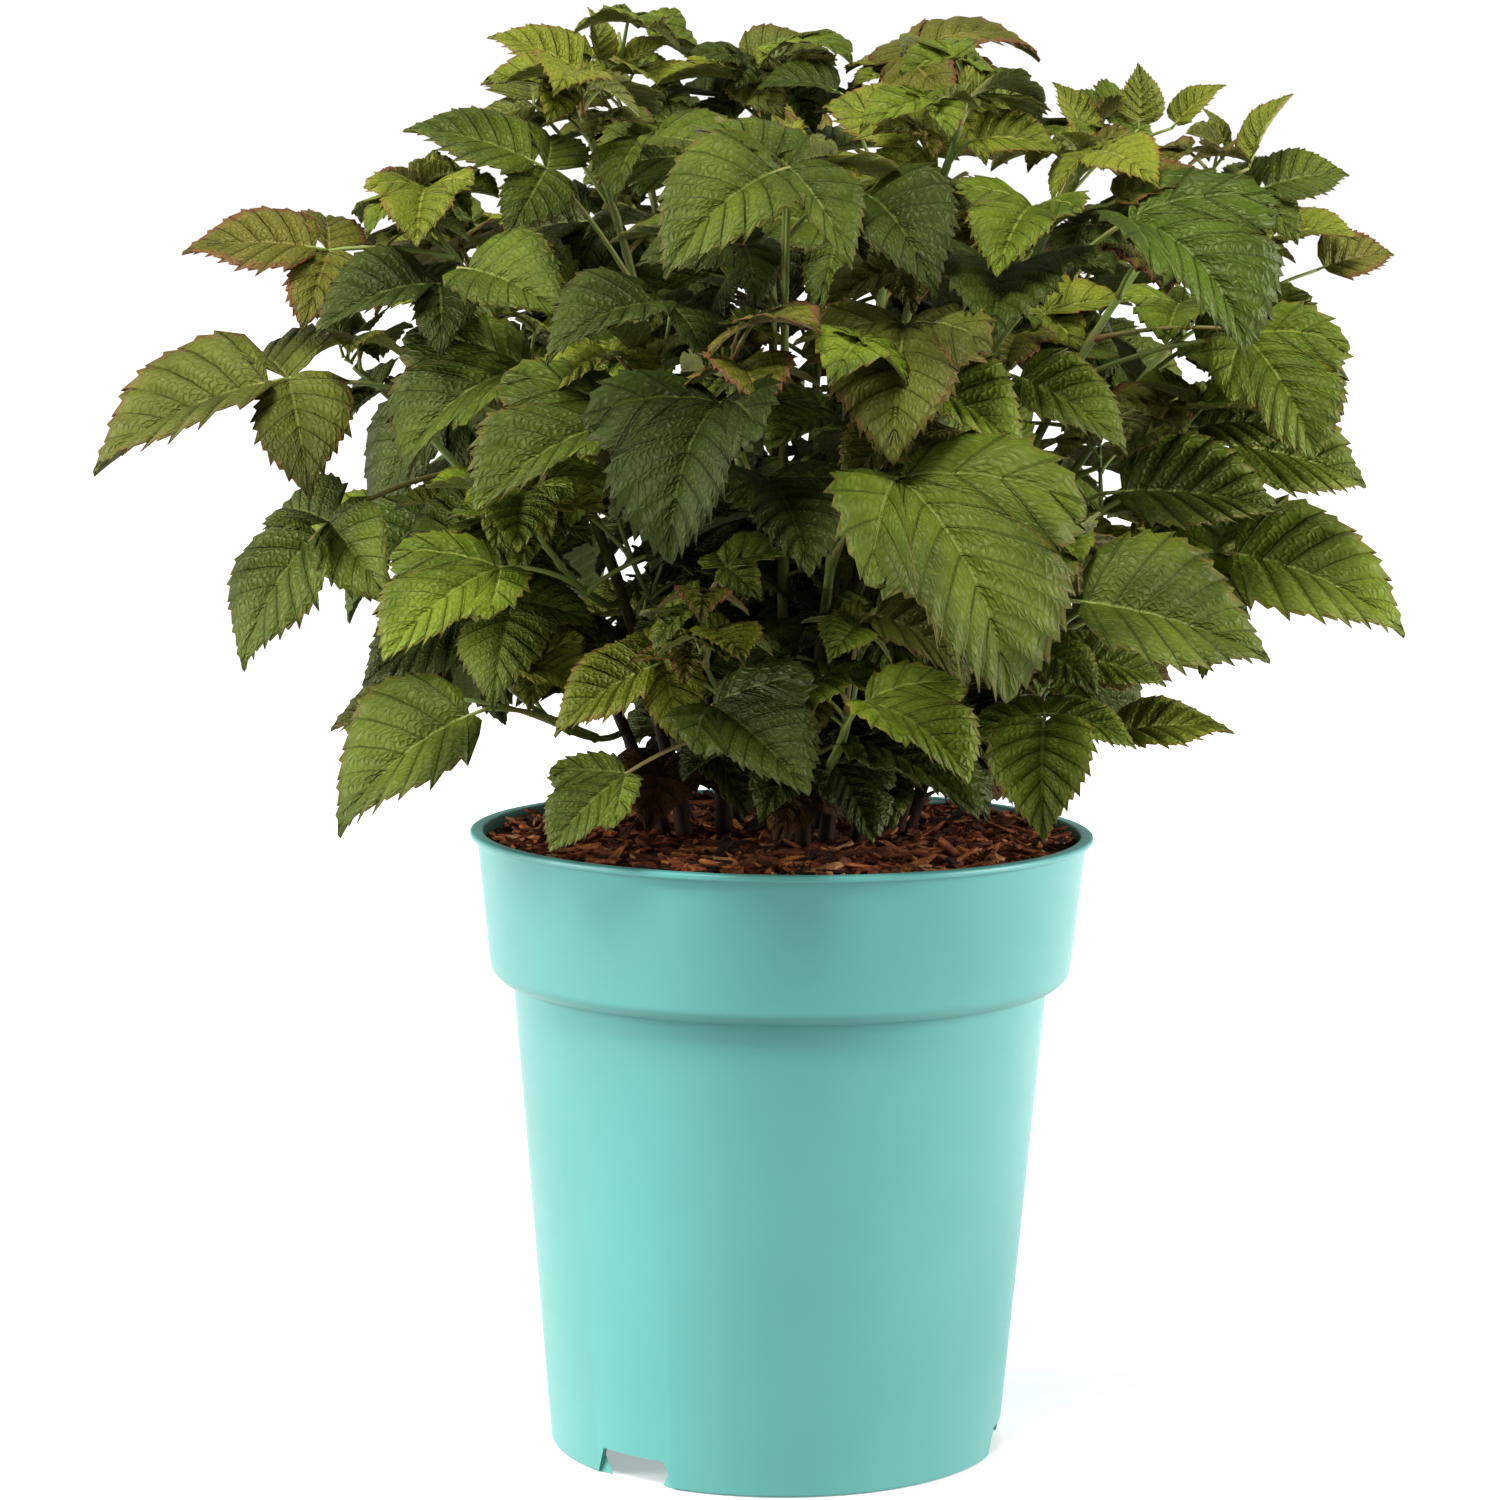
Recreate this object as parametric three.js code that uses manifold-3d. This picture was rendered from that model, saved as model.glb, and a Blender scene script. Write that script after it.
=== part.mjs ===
// A dwarf raspberry bush in a round plastic nursery pot, in millimetres, +Z up.
// The origin is the centre of the pot's underside, on the flat face that the pot stands on.
// +X is to the right and -Y to the front. A heading is an angle round Z, from +X towards +Y.
import * as THREE from "three";
import { mergeVertices } from "three/addons/utils/BufferGeometryUtils.js";
import Module from "manifold-3d";

const wasm = await Module();
wasm.setup();

// ---------- Driving dimensions ----------

const GAP = 0.3; // clear space between pieces that rest on each other
const POT = {
  height: 229,
  wall: 2.2,
  floor: 2.5,
  sides: 48,
  lipRadius: 115,
  lipDepth: 2.4,
  bandTopRadius: 112.4,
  bandBottomRadius: 107.2,
  bandDepth: 54.5,
  shoulder: 3.4, // the rounding under the band
  neckRadius: 99,
  footRadius: 83.8,
  channelHeight: 13, // the underside of the raised ring that drains the floor
  standRadius: 52, // the middle of the floor, which stands on the ground
  channelInner: 62,
};
const NOTCH = {
  count: 3,
  firstHeading: -128,
  width: 17,
  height: 9,
  recessWidth: 36,
  recessDepth: 1.1,
  recessSlope: 4, // how much narrower each end of the recess is at its top
  cut: 30, // how far the cutting bodies run through the wall
};
const DRAIN = { count: 6, radius: 4, ring: 71, sides: 8, firstHeading: -98 };
const SOIL = { belowRim: 4.5, sides: 24 };

const CANE = {
  sides: 6,
  steps: 5,
  footRadius: 3.1,
  tipRadius: 1.35,
  flare: 1.4, // how much wider the cane is where it leaves the soil
  flareHeight: 0.07, // share of the cane's length that flares
  clump: 0.27, // a foot stands at this share of its tip's distance from the middle
  leanStart: 0.3, // how far out the cane has gone when it has risen leanRise
  leanRise: 0.62,
};
const SIDE_SHOOT = { sides: 4, steps: 4, baseRadius: 1.7, tipRadius: 1.1, outFirst: 0.42, bare: 0.25 };
const STEM = { sides: 4, steps: 3 };

const LEAF = {
  lowest: 0.05, // where the lowest leaf stands, past the start of the leafy part
  highest: 0.985,
  divergence: 137.5, // degrees from one leaf to the next round the stem
  taper: 0.42, // how much shorter the last leaf of a shoot is than the first
  taperPower: 1.5,
  petiole: 0.5, // share of the end blade's length
  petioleRadius: 1.05,
  width: 0.77, // share of the blade's length
  lobedLength: 1.05, // of a three-lobed leaf, against the end leaflet in its place
  lobedWidth: 0.92,
  lobedShare: 0.26, // how many of the other leaves are three-lobed
  thickness: 0.018,
  middle: 0.45, // where the blade is thickest, as a share of its length
  fold: 11, // degrees that each half of a blade lifts from the midrib
  sideShare: 0.7, // length of a side leaflet against the end one
  sideAngle: 84, // degrees between a side leaflet and the end one
  facing: 36, // degrees that a blade on a sideways heading turns to the light in front
  nod: 47, // most that a blade turns down from the line of its stalk, in degrees
};
// Degrees that a stalk rises and a blade's base points up, on the lowest leaf and on the highest.
const HANG = { riseLow: 14, riseHigh: 48, pitchLow: -14, pitchHigh: 16, bend: 50, sideBend: 42 };
// Degrees that a blade on a hub of its own bends along its length.
const HELD = { leastBend: 36, mostBend: 84 };
// How far each leaf strays from the rule: degrees, and shares of the blade's and the stalk's length.
const STRAY = {
  heading: 14,
  rise: 8,
  pitch: 9,
  roll: 14,
  bend: 12,
  sideAngle: 5,
  sideBend: 10,
  length: 0.06,
  stalk: 0.15,
};
// How a leaf is turned, lifted and shrunk for each new attempt, and how many attempts there are.
const NUDGE = { turn: 11, lift: 18, shrink: 0.016, attempts: 18 };
// Clear space kept for the relief and the teeth of real blades and for the swelling of real stalks.
const GUARD = { thickness: 1.9, widen: 1.05, stalk: 2.1 };
const SPACE = {
  overreach: 42, // how far a leaf may reach past the middle between its stem and the next
  test: 0.8, // the share of a blade's length that is tested
  fan: 0.62, // the leaves of an outer shoot spread over this share of the full turn
  fanAt: 150, // how far from the middle a shoot's tip has the whole of that narrowing
};
// Where the outline of a blade turns: share of its length, and half widths as shares of its width.
// inner is the half of a side leaflet that faces the end leaflet.
const OUTLINES = {
  end: [
    { along: 0.32, outer: 0.48, inner: 0.48 },
    { along: 0.68, outer: 0.39, inner: 0.39 },
  ],
  side: [
    { along: 0.3, outer: 0.48, inner: 0.24 },
    { along: 0.66, outer: 0.37, inner: 0.33 },
  ],
  lobed: [
    { along: 0.16, outer: 0.4, inner: 0.4 },
    { along: 0.44, outer: 0.54, inner: 0.54 },
    { along: 0.58, outer: 0.36, inner: 0.36 },
  ],
};

// The canes, by the place of the tip: x, y, z. bare is the share of the length below the leaves, leaf the
// length of the lowest blade, first the heading of the lowest leaf and droop its extra hang, in degrees.
// held are the leaves with a place of their own, by their number from the lowest: the hub is where the
// stalk ends and the tip is the blade's. Their form is a "lobed" blade, a "single" one or "three" leaflets.
const CANES = [
  {
    name: "left_outer", tip: [-158, 0, 398], bare: 0.56,
    leaves: 4, leaf: 58, first: 190, droop: 8,
    held: {
      1: { form: "three", hub: [-163, -42, 344], tip: [-188, -52, 288] },
    },
  },
  {
    name: "left_high", tip: [-130, -22, 452], bare: 0.55,
    leaves: 7, leaf: 74, first: 250, droop: 4,
    held: {
      0: { form: "three", hub: [-177, -45, 395], tip: [-243, -60, 357] },
      2: { form: "three", hub: [-123, -56, 429], tip: [-163, -70, 407] },
      3: { form: "single", hub: [-115, -74, 435], tip: [-81, -106, 414] },
      5: { form: "three", hub: [-165, -22, 440], tip: [-218, -28, 435] },
    },
  },
  {
    name: "top_left", tip: [-76, 0, 492], bare: 0.6,
    leaves: 7, leaf: 66, first: 170, droop: 0,
    held: {
      1: { form: "three", hub: [-87, -26, 470], tip: [-139, -32, 480] },
      3: { form: "three", hub: [-93, 10, 493], tip: [-147, 2, 484] },
    },
  },
  {
    name: "top_left_back", tip: [-62, 74, 502], bare: 0.62,
    leaves: 7, leaf: 62, first: 80, droop: -8,
    held: {
      3: { form: "single", hub: [-75, 72, 505], tip: [-116, 68, 517] },
      4: { form: "single", hub: [-72, 74, 510], tip: [-78, 74, 532] },
      5: { form: "single", hub: [-63, 70, 509], tip: [-44, 66, 517] },
    },
  },
  {
    name: "top_mid", tip: [-8, 46, 500], bare: 0.62,
    leaves: 7, leaf: 64, first: 200, droop: -4,
    held: {
      4: { form: "three", hub: [-18, 50, 507], tip: [21, 54, 510] },
    },
  },
  {
    name: "top_right", tip: [50, 40, 498], bare: 0.62,
    leaves: 7, leaf: 64, first: 40, droop: -4,
    held: {
      2: { form: "single", hub: [20, 20, 498], tip: [-12, 10, 495] },
      4: { form: "three", hub: [43, 40, 513], tip: [95, 36, 509] },
    },
  },
  {
    name: "front_high", tip: [58, -80, 486], bare: 0.6,
    leaves: 7, leaf: 64, first: 330, droop: 2,
    held: {
      0: { form: "lobed", hub: [39, -112, 418], tip: [34, -158, 373] },
      1: { form: "lobed", hub: [83, -92, 458], tip: [73, -128, 434] },
      2: { form: "single", hub: [24, -100, 462], tip: [39, -135, 425] },
      4: { form: "three", hub: [46, -70, 477], tip: [5, -64, 488] },
      5: { form: "single", hub: [61, -76, 480], tip: [92, -84, 471] },
    },
  },
  {
    name: "front_top", tip: [-2, -104, 462], bare: 0.58,
    leaves: 6, leaf: 60, first: 230, droop: 10,
    held: {
      1: { form: "three", hub: [-1, -128, 470], tip: [-26, -154, 426] },
    },
  },
  {
    name: "right_front_high", tip: [100, -62, 468], bare: 0.58,
    leaves: 6, leaf: 70, first: 300, droop: 6,
    held: {
      0: { form: "single", hub: [75, -92, 401], tip: [112, -108, 371] },
      1: { form: "lobed", hub: [115, -98, 454], tip: [144, -124, 407] },
      4: { form: "single", hub: [109, -82, 459], tip: [147, -88, 468] },
    },
  },
  {
    name: "right_ridge", tip: [116, 70, 484], bare: 0.62,
    leaves: 6, leaf: 62, first: 30, droop: 0,
    held: {
      2: { form: "single", hub: [112, 62, 483], tip: [97, 66, 505] },
      3: { form: "single", hub: [132, 68, 488], tip: [131, 70, 513] },
      4: { form: "single", hub: [143, 48, 488], tip: [164, 44, 503] },
    },
  },
  {
    name: "right_high", tip: [154, 0, 472], bare: 0.58,
    leaves: 6, leaf: 68, first: 300, droop: -6,
    held: {
      0: { form: "lobed", hub: [162, -42, 413], tip: [173, -62, 368] },
      1: { form: "single", hub: [171, -12, 414], tip: [202, -10, 388] },
      3: { form: "three", hub: [170, 0, 465], tip: [207, 4, 468] },
      4: { form: "single", hub: [167, 2, 473], tip: [183, 0, 500] },
      5: { form: "single", hub: [158, -4, 478], tip: [149, -8, 494] },
    },
  },
  {
    name: "right_outer", tip: [172, 50, 436], bare: 0.52,
    leaves: 6, leaf: 68, first: 10, droop: 2,
    held: {
      0: { form: "three", hub: [159, 26, 372], tip: [218, 26, 348] },
      3: { form: "single", hub: [198, 45, 436], tip: [231, 50, 439] },
    },
  },
  {
    name: "centre_front", tip: [26, -128, 404], bare: 0.5,
    leaves: 5, leaf: 70, first: 290, droop: 18,
    held: {
      0: { form: "lobed", hub: [36, -148, 368], tip: [59, -182, 294] },
    },
  },
  {
    name: "back_left", tip: [-132, 118, 436], bare: 0.56,
    leaves: 6, leaf: 74, first: 130, droop: 6,
  },
  {
    name: "back_mid", tip: [18, 150, 458], bare: 0.56,
    leaves: 6, leaf: 74, first: 90, droop: 8,
  },
  {
    name: "back_right", tip: [120, 150, 430], bare: 0.54,
    leaves: 6, leaf: 74, first: 50, droop: 10,
  },
  {
    name: "back_far_left", tip: [-70, 182, 392], bare: 0.48,
    leaves: 5, leaf: 78, first: 120, droop: 14,
  },
];

// Shoots that leave a cane part of the way up: at is the share of the bare cane below them.
const SIDES = [
  {
    name: "left_low", from: "left_outer", at: 0.7, tip: [-112, -34, 340],
    leaves: 4, leaf: 54, first: 170, droop: 22,
  },
  {
    name: "bottom_left", from: "left_outer", at: 0.35, tip: [-98, -48, 286],
    leaves: 4, leaf: 60, first: 215, droop: 20,
    held: {
      0: { form: "single", hub: [-105, -62, 280], tip: [-149, -80, 228] },
      1: { form: "single", hub: [-116, -34, 280], tip: [-168, -22, 262] },
    },
  },
  {
    name: "left_front", from: "left_high", at: 0.62, tip: [-88, -86, 346],
    leaves: 4, leaf: 64, first: 240, droop: 20,
    held: {
      0: { form: "lobed", hub: [-98, -112, 334], tip: [-129, -142, 302] },
    },
  },
  {
    name: "centre_left", from: "top_left", at: 0.7, tip: [-52, -84, 396],
    leaves: 4, leaf: 66, first: 215, droop: 18,
    held: {
      0: { form: "lobed", hub: [-52, -112, 385], tip: [-100, -142, 353] },
      1: { form: "lobed", hub: [-91, -66, 400], tip: [-126, -80, 358] },
      2: { form: "three", hub: [-40, -104, 423], tip: [-77, -130, 402] },
    },
  },
  {
    name: "centre", from: "front_top", at: 0.8, tip: [-20, -118, 392],
    leaves: 4, leaf: 70, first: 262, droop: 22,
    held: {
      0: { form: "lobed", hub: [-23, -140, 392], tip: [-41, -165, 337] },
    },
  },
  {
    name: "bottom_centre", from: "front_top", at: 0.3, tip: [-28, -92, 300],
    leaves: 4, leaf: 60, first: 255, droop: 22,
    held: {
      0: { form: "lobed", hub: [-55, -100, 262], tip: [-77, -112, 234] },
      1: { form: "lobed", hub: [-25, -116, 288], tip: [0, -152, 259] },
    },
  },
  {
    name: "bottom_right", from: "centre_front", at: 0.34, tip: [26, -96, 306],
    leaves: 4, leaf: 60, first: 275, droop: 22,
    held: {
      0: { form: "lobed", hub: [27, -128, 291], tip: [57, -146, 263] },
      1: { form: "single", hub: [26, -94, 318], tip: [58, -104, 285] },
    },
  },
  {
    name: "right_front", from: "right_front_high", at: 0.5, tip: [92, -90, 334],
    leaves: 4, leaf: 66, first: 350, droop: 12,
    held: {
      0: { form: "single", hub: [94, -112, 325], tip: [164, -122, 298] },
    },
  },
  {
    name: "right_bottom", from: "right_high", at: 0.26, tip: [90, -66, 288],
    leaves: 4, leaf: 58, first: 300, droop: 20,
    held: {
      0: { form: "three", hub: [90, -96, 284], tip: [87, -116, 242] },
      1: { form: "single", hub: [116, -45, 271], tip: [162, -48, 270] },
      2: { form: "single", hub: [87, -76, 303], tip: [105, -96, 288] },
    },
  },
  {
    name: "right_mid", from: "right_high", at: 0.74, tip: [150, 0, 380],
    leaves: 4, leaf: 64, first: 0, droop: 8,
    held: {
      0: { form: "single", hub: [114, -38, 357], tip: [177, -48, 345] },
    },
  },
  {
    name: "right_low", from: "right_outer", at: 0.62, tip: [150, 14, 342],
    leaves: 4, leaf: 68, first: 345, droop: 14,
    held: {
      0: { form: "three", hub: [154, -34, 336], tip: [216, -56, 300] },
    },
  },
  {
    name: "back_low_left", from: "back_left", at: 0.55, tip: [-142, 108, 322],
    leaves: 4, leaf: 74, first: 150, droop: 20,
  },
  {
    name: "back_low_mid", from: "back_mid", at: 0.5, tip: [36, 168, 330],
    leaves: 4, leaf: 76, first: 95, droop: 22,
  },
  {
    name: "back_low_right", from: "back_right", at: 0.5, tip: [134, 130, 318],
    leaves: 4, leaf: 74, first: 40, droop: 20,
  },
  {
    name: "inner_left", from: "top_left", at: 0.42, tip: [-62, -34, 352],
    leaves: 4, leaf: 66, first: 220, droop: 14,
  },
  {
    name: "inner_right", from: "right_ridge", at: 0.6, tip: [80, 16, 398],
    leaves: 4, leaf: 64, first: 320, droop: 10,
  },
  {
    name: "inner_front", from: "front_high", at: 0.5, tip: [52, -66, 352],
    leaves: 4, leaf: 66, first: 300, droop: 14,
  },
  {
    name: "inner_back", from: "top_mid", at: 0.62, tip: [-34, 66, 398],
    leaves: 4, leaf: 66, first: 140, droop: 12,
  },
  {
    name: "inner_low", from: "top_right", at: 0.34, tip: [46, 26, 322],
    leaves: 4, leaf: 62, first: 60, droop: 16,
  },
  {
    name: "foot_left", from: "top_left_back", at: 0.3, tip: [-48, 14, 300],
    leaves: 4, leaf: 40, first: 200, droop: 16,
  },
  {
    name: "foot_mid", from: "top_mid", at: 0.3, tip: [2, -20, 296],
    leaves: 4, leaf: 38, first: 280, droop: 16,
  },
  {
    name: "foot_right", from: "right_ridge", at: 0.3, tip: [64, -16, 304],
    leaves: 4, leaf: 38, first: 330, droop: 16,
  },
];

const COLOURS = {
  pot: { color: 0x5aaea4, roughness: 0.42, metalness: 0 },
  soil: { color: 0x4a2413, roughness: 0.95, metalness: 0 },
  cane: { color: 0x5f6b2c, roughness: 0.7, metalness: 0 },
  foliage: { color: 0x5a642a, roughness: 0.6, metalness: 0 },
};

// ---------- Small tools ----------

const UP = new THREE.Vector3(0, 0, 1);
const rad = THREE.MathUtils.degToRad;
const deg = THREE.MathUtils.radToDeg;
const lerp = THREE.MathUtils.lerp;

// A fixed share of 0 to 1 for whole-number keys, so that every build grows the same bush.
function chance(shoot, leaf, which) {
  let h = Math.imul(shoot + 1, 0x9e3779b1) ^ Math.imul(leaf + 1, 0x85ebca6b);
  h ^= Math.imul(which + 1, 0xc2b2ae35);
  h = Math.imul(h ^ (h >>> 15), 0x2c1b3c6d);
  h = Math.imul(h ^ (h >>> 12), 0x297a2d39);
  return ((h ^ (h >>> 15)) >>> 0) / 4294967296;
}

// Between -most and most.
function sway(shoot, leaf, which, most) {
  return (2 * chance(shoot, leaf, which) - 1) * most;
}

function headingVector(heading) {
  return new THREE.Vector3(Math.cos(rad(heading)), Math.sin(rad(heading)), 0);
}

// The angle in -180 to 180 degrees that turns from b to a.
function turn(a, b) {
  return ((((a - b) % 360) + 540) % 360) - 180;
}

function geometryOf(points, faces) {
  const geometry = new THREE.BufferGeometry();
  const places = points.flatMap((p) => [p.x, p.y, p.z]);
  geometry.setAttribute("position", new THREE.Float32BufferAttribute(places, 3));
  geometry.setIndex(faces.flat());
  return geometry;
}

function solidOf(geometry) {
  const bare = geometry.clone();
  bare.deleteAttribute("normal");
  bare.deleteAttribute("uv");
  const merged = mergeVertices(bare, 1e-4);
  return new wasm.Manifold(
    new wasm.Mesh({
      numProp: 3,
      vertProperties: merged.getAttribute("position").array,
      triVerts: new Uint32Array(merged.index.array),
    }),
  );
}

function meshOf(name, solid, colours) {
  const made = solid.getMesh();
  const geometry = new THREE.BufferGeometry();
  geometry.setAttribute("position", new THREE.BufferAttribute(made.vertProperties, 3));
  geometry.setIndex(new THREE.BufferAttribute(made.triVerts, 1));
  geometry.computeVertexNormals();
  const mesh = new THREE.Mesh(geometry, new THREE.MeshStandardMaterial(colours));
  mesh.name = name;
  return mesh;
}

// A closed round body from a profile of [radius, height] that starts and ends on the axis.
function turned(profile, sides) {
  const outline = profile.map(([r, z]) => new THREE.Vector2(r, z));
  return solidOf(new THREE.LatheGeometry(outline, sides).rotateX(Math.PI / 2));
}

// ---------- Pot and soil ----------

const bandBottom = POT.height - POT.bandDepth;

// The radius of the outer wall below the band.
function wallRadius(z) {
  return lerp(POT.footRadius, POT.neckRadius, z / bandBottom);
}

function potSolid() {
  const { height, wall, floor, lipRadius, lipDepth, bandTopRadius, bandBottomRadius, shoulder } = POT;
  const lipBottom = height - lipDepth;
  const profile = [
    [0, 0],
    [POT.standRadius, 0],
    [POT.channelInner, POT.channelHeight],
    [wallRadius(POT.channelHeight) - wall, POT.channelHeight],
    [wallRadius(0) - wall, 0],
    [wallRadius(0), 0],
    [POT.neckRadius, bandBottom],
    [bandBottomRadius - shoulder, bandBottom],
    [bandBottomRadius, bandBottom + shoulder],
    [bandTopRadius, lipBottom],
    [lipRadius, lipBottom],
    [lipRadius, height],
    [bandTopRadius - wall, height],
    [bandBottomRadius - wall, bandBottom + shoulder],
    [bandBottomRadius - shoulder - wall / 2, bandBottom + wall],
    [POT.neckRadius - wall, bandBottom + wall],
    [wallRadius(POT.channelHeight + floor) - wall, POT.channelHeight + floor],
    [POT.channelInner + floor / 2, POT.channelHeight + floor],
    [POT.standRadius + floor / 2, floor],
    [0, floor],
  ];
  let pot = turned(profile, POT.sides);
  for (let i = 0; i < NOTCH.count; i += 1) {
    const heading = NOTCH.firstHeading + (i * 360) / NOTCH.count;
    for (const cutter of notchCutters()) {
      pot = pot.subtract(solidOf(cutter.rotateZ(rad(heading))));
    }
  }
  for (let i = 0; i < DRAIN.count; i += 1) {
    const heading = DRAIN.firstHeading + (i * 360) / DRAIN.count;
    const hole = new THREE.CylinderGeometry(DRAIN.radius, DRAIN.radius, 4 * floor, DRAIN.sides);
    hole.rotateX(Math.PI / 2);
    hole.translate(DRAIN.ring, 0, POT.channelHeight + floor / 2);
    pot = pot.subtract(solidOf(hole.rotateZ(rad(heading))));
  }
  return pot;
}

// A drain notch in the foot, on heading 0: an open gap in the middle of a shallow recess with sloping ends.
function notchCutters() {
  const through = new THREE.BoxGeometry(NOTCH.cut, NOTCH.width, 2 * NOTCH.height);
  through.translate(POT.footRadius, 0, 0);
  const half = NOTCH.recessWidth / 2;
  const outline = new THREE.Shape();
  outline.moveTo(-half, -1);
  outline.lineTo(half, -1);
  outline.lineTo(half - NOTCH.recessSlope, NOTCH.height + 1);
  outline.lineTo(-half + NOTCH.recessSlope, NOTCH.height + 1);
  const recess = new THREE.ExtrudeGeometry(outline, { depth: NOTCH.cut, bevelEnabled: false });
  recess.rotateX(Math.PI / 2);
  recess.rotateZ(Math.PI / 2);
  recess.translate(POT.footRadius * Math.cos(half / POT.footRadius) - NOTCH.recessDepth, 0, 0);
  return [through, recess];
}

const soilTop = POT.height - SOIL.belowRim;

function soilSolid() {
  const inner = (radius) => radius - POT.wall - GAP;
  const channelTop = POT.channelHeight + POT.floor + GAP;
  const bandSlope = (POT.bandTopRadius - POT.bandBottomRadius) / POT.bandDepth;
  const profile = [
    [0, POT.floor + GAP],
    [POT.standRadius, POT.floor + GAP],
    [POT.channelInner, channelTop],
    [inner(wallRadius(channelTop)), channelTop],
    [inner(POT.neckRadius), bandBottom + POT.wall + GAP],
    [inner(POT.bandBottomRadius) - POT.shoulder, bandBottom + POT.wall + GAP],
    [inner(POT.bandBottomRadius), bandBottom + POT.shoulder + GAP],
    [inner(POT.bandTopRadius) - bandSlope * SOIL.belowRim, soilTop],
    [0, soilTop],
  ];
  return turned(profile, SOIL.sides);
}

// ---------- Limbs ----------

// A tapering limb along a curve between two shares of its length, closed at both ends.
// A level foot is cut flat at the height of the curve's start.
function limb(curve, from, to, radiusAt, sides, steps, levelFoot = false) {
  const points = [];
  const faces = [];
  const run = curve.getPoint(to).sub(curve.getPoint(from));
  const level = Math.abs(run.x) > Math.abs(run.y) ? new THREE.Vector3(0, 1, 0) : new THREE.Vector3(1, 0, 0);
  for (let i = 0; i <= steps; i += 1) {
    const share = lerp(from, to, i / steps);
    const centre = curve.getPoint(share);
    const ahead = levelFoot && i === 0 ? UP : curve.getTangent(share);
    const across = level.clone().addScaledVector(ahead, -ahead.dot(level)).normalize();
    const other = new THREE.Vector3().crossVectors(ahead, across);
    for (let k = 0; k < sides; k += 1) {
      const angle = (2 * Math.PI * k) / sides;
      const rim = across.clone().multiplyScalar(Math.cos(angle)).addScaledVector(other, Math.sin(angle));
      points.push(centre.clone().addScaledVector(rim, radiusAt(share)));
    }
  }
  for (let i = 0; i < steps; i += 1) {
    for (let k = 0; k < sides; k += 1) {
      const a = i * sides + k;
      const b = i * sides + ((k + 1) % sides);
      faces.push([a, b, b + sides], [a, b + sides, a + sides]);
    }
  }
  for (let k = 1; k < sides - 1; k += 1) {
    const end = steps * sides;
    faces.push([0, k + 1, k], [end, end + k, end + k + 1]);
  }
  return geometryOf(points, faces);
}

// A cane stands near the middle, rises and leans out to its tip.
function caneCurve({ tip }) {
  const top = new THREE.Vector3(...tip);
  const foot = new THREE.Vector3(tip[0] * CANE.clump, tip[1] * CANE.clump, soilTop + GAP);
  const bend = new THREE.Vector3(
    lerp(foot.x, top.x, CANE.leanStart),
    lerp(foot.y, top.y, CANE.leanStart),
    lerp(foot.z, top.z, CANE.leanRise),
  );
  return new THREE.QuadraticBezierCurve3(foot, bend, top);
}

function caneRadius(share) {
  const flare = 1 + (CANE.flare - 1) * Math.max(0, 1 - share / CANE.flareHeight);
  return lerp(CANE.footRadius, CANE.tipRadius, share) * flare;
}

// A side shoot leaves its cane squarely and then rises to its tip.
function sideCurve({ tip, at }, cane) {
  const share = at * cane.bare;
  const root = cane.curve.getPoint(share);
  const along = cane.curve.getTangent(share);
  const top = new THREE.Vector3(...tip);
  const reach = top.clone().sub(root);
  const outward = reach.clone().addScaledVector(along, -reach.dot(along)).normalize();
  root.addScaledVector(outward, caneRadius(share) + GAP);
  const bend = root.clone().addScaledVector(outward, SIDE_SHOOT.outFirst * reach.length());
  return new THREE.QuadraticBezierCurve3(root, bend, top);
}

// ---------- Leaves ----------

// A frame at a heading and a pitch, turned about its own length by the roll.
function frameAt(heading, pitch, roll) {
  const ahead = headingVector(heading);
  const along = ahead.clone().multiplyScalar(Math.cos(rad(pitch))).addScaledVector(UP, Math.sin(rad(pitch)));
  const side = new THREE.Vector3(ahead.y, -ahead.x, 0).applyAxisAngle(along, rad(roll));
  return { along, side, normal: new THREE.Vector3().crossVectors(side, along) };
}

// The midrib's place and directions at a share of a blade, which bends evenly towards its underside.
function midrib({ base, along, side, normal, length, bend }, share) {
  const whole = rad(bend);
  const angle = whole * share;
  return {
    at: base
      .clone()
      .addScaledVector(along, (length * Math.sin(angle)) / whole)
      .addScaledVector(normal, (-length * (1 - Math.cos(angle))) / whole),
    side,
    normal: normal.clone().multiplyScalar(Math.cos(angle)).addScaledVector(along, Math.sin(angle)),
  };
}

// A point of the outline: hand is 1 on the right half of the blade and -1 on the left.
function rimPoint(blade, station, hand, widen) {
  const { at, side, normal } = midrib(blade, station.along);
  const half = blade.hand * hand === -1 ? station.inner : station.outer;
  const offset = half * blade.width * widen;
  const lift = rad(LEAF.fold);
  at.addScaledVector(side, hand * offset * Math.cos(lift));
  return at.addScaledVector(normal, offset * Math.sin(lift));
}

// The outline from the right of the base round the tip to the left of the base.
function rimOf(blade, widen) {
  const stations = OUTLINES[blade.form];
  const right = stations.map((station) => rimPoint(blade, station, 1, widen));
  const left = stations.map((station) => rimPoint(blade, station, -1, widen));
  return [...right, midrib(blade, 1).at, ...left.reverse()];
}

// The top and under points of the blade's middle.
function middlesOf(blade, thickness) {
  const { at, normal } = midrib(blade, LEAF.middle);
  return [thickness / 2, -thickness / 2].map((lift) => at.clone().addScaledVector(normal, lift));
}

// Triangles from one point to each side of a closed loop of points.
function fan(centre, loop) {
  return loop.map((point, i) => [centre, point, loop[(i + 1) % loop.length]]);
}

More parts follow.
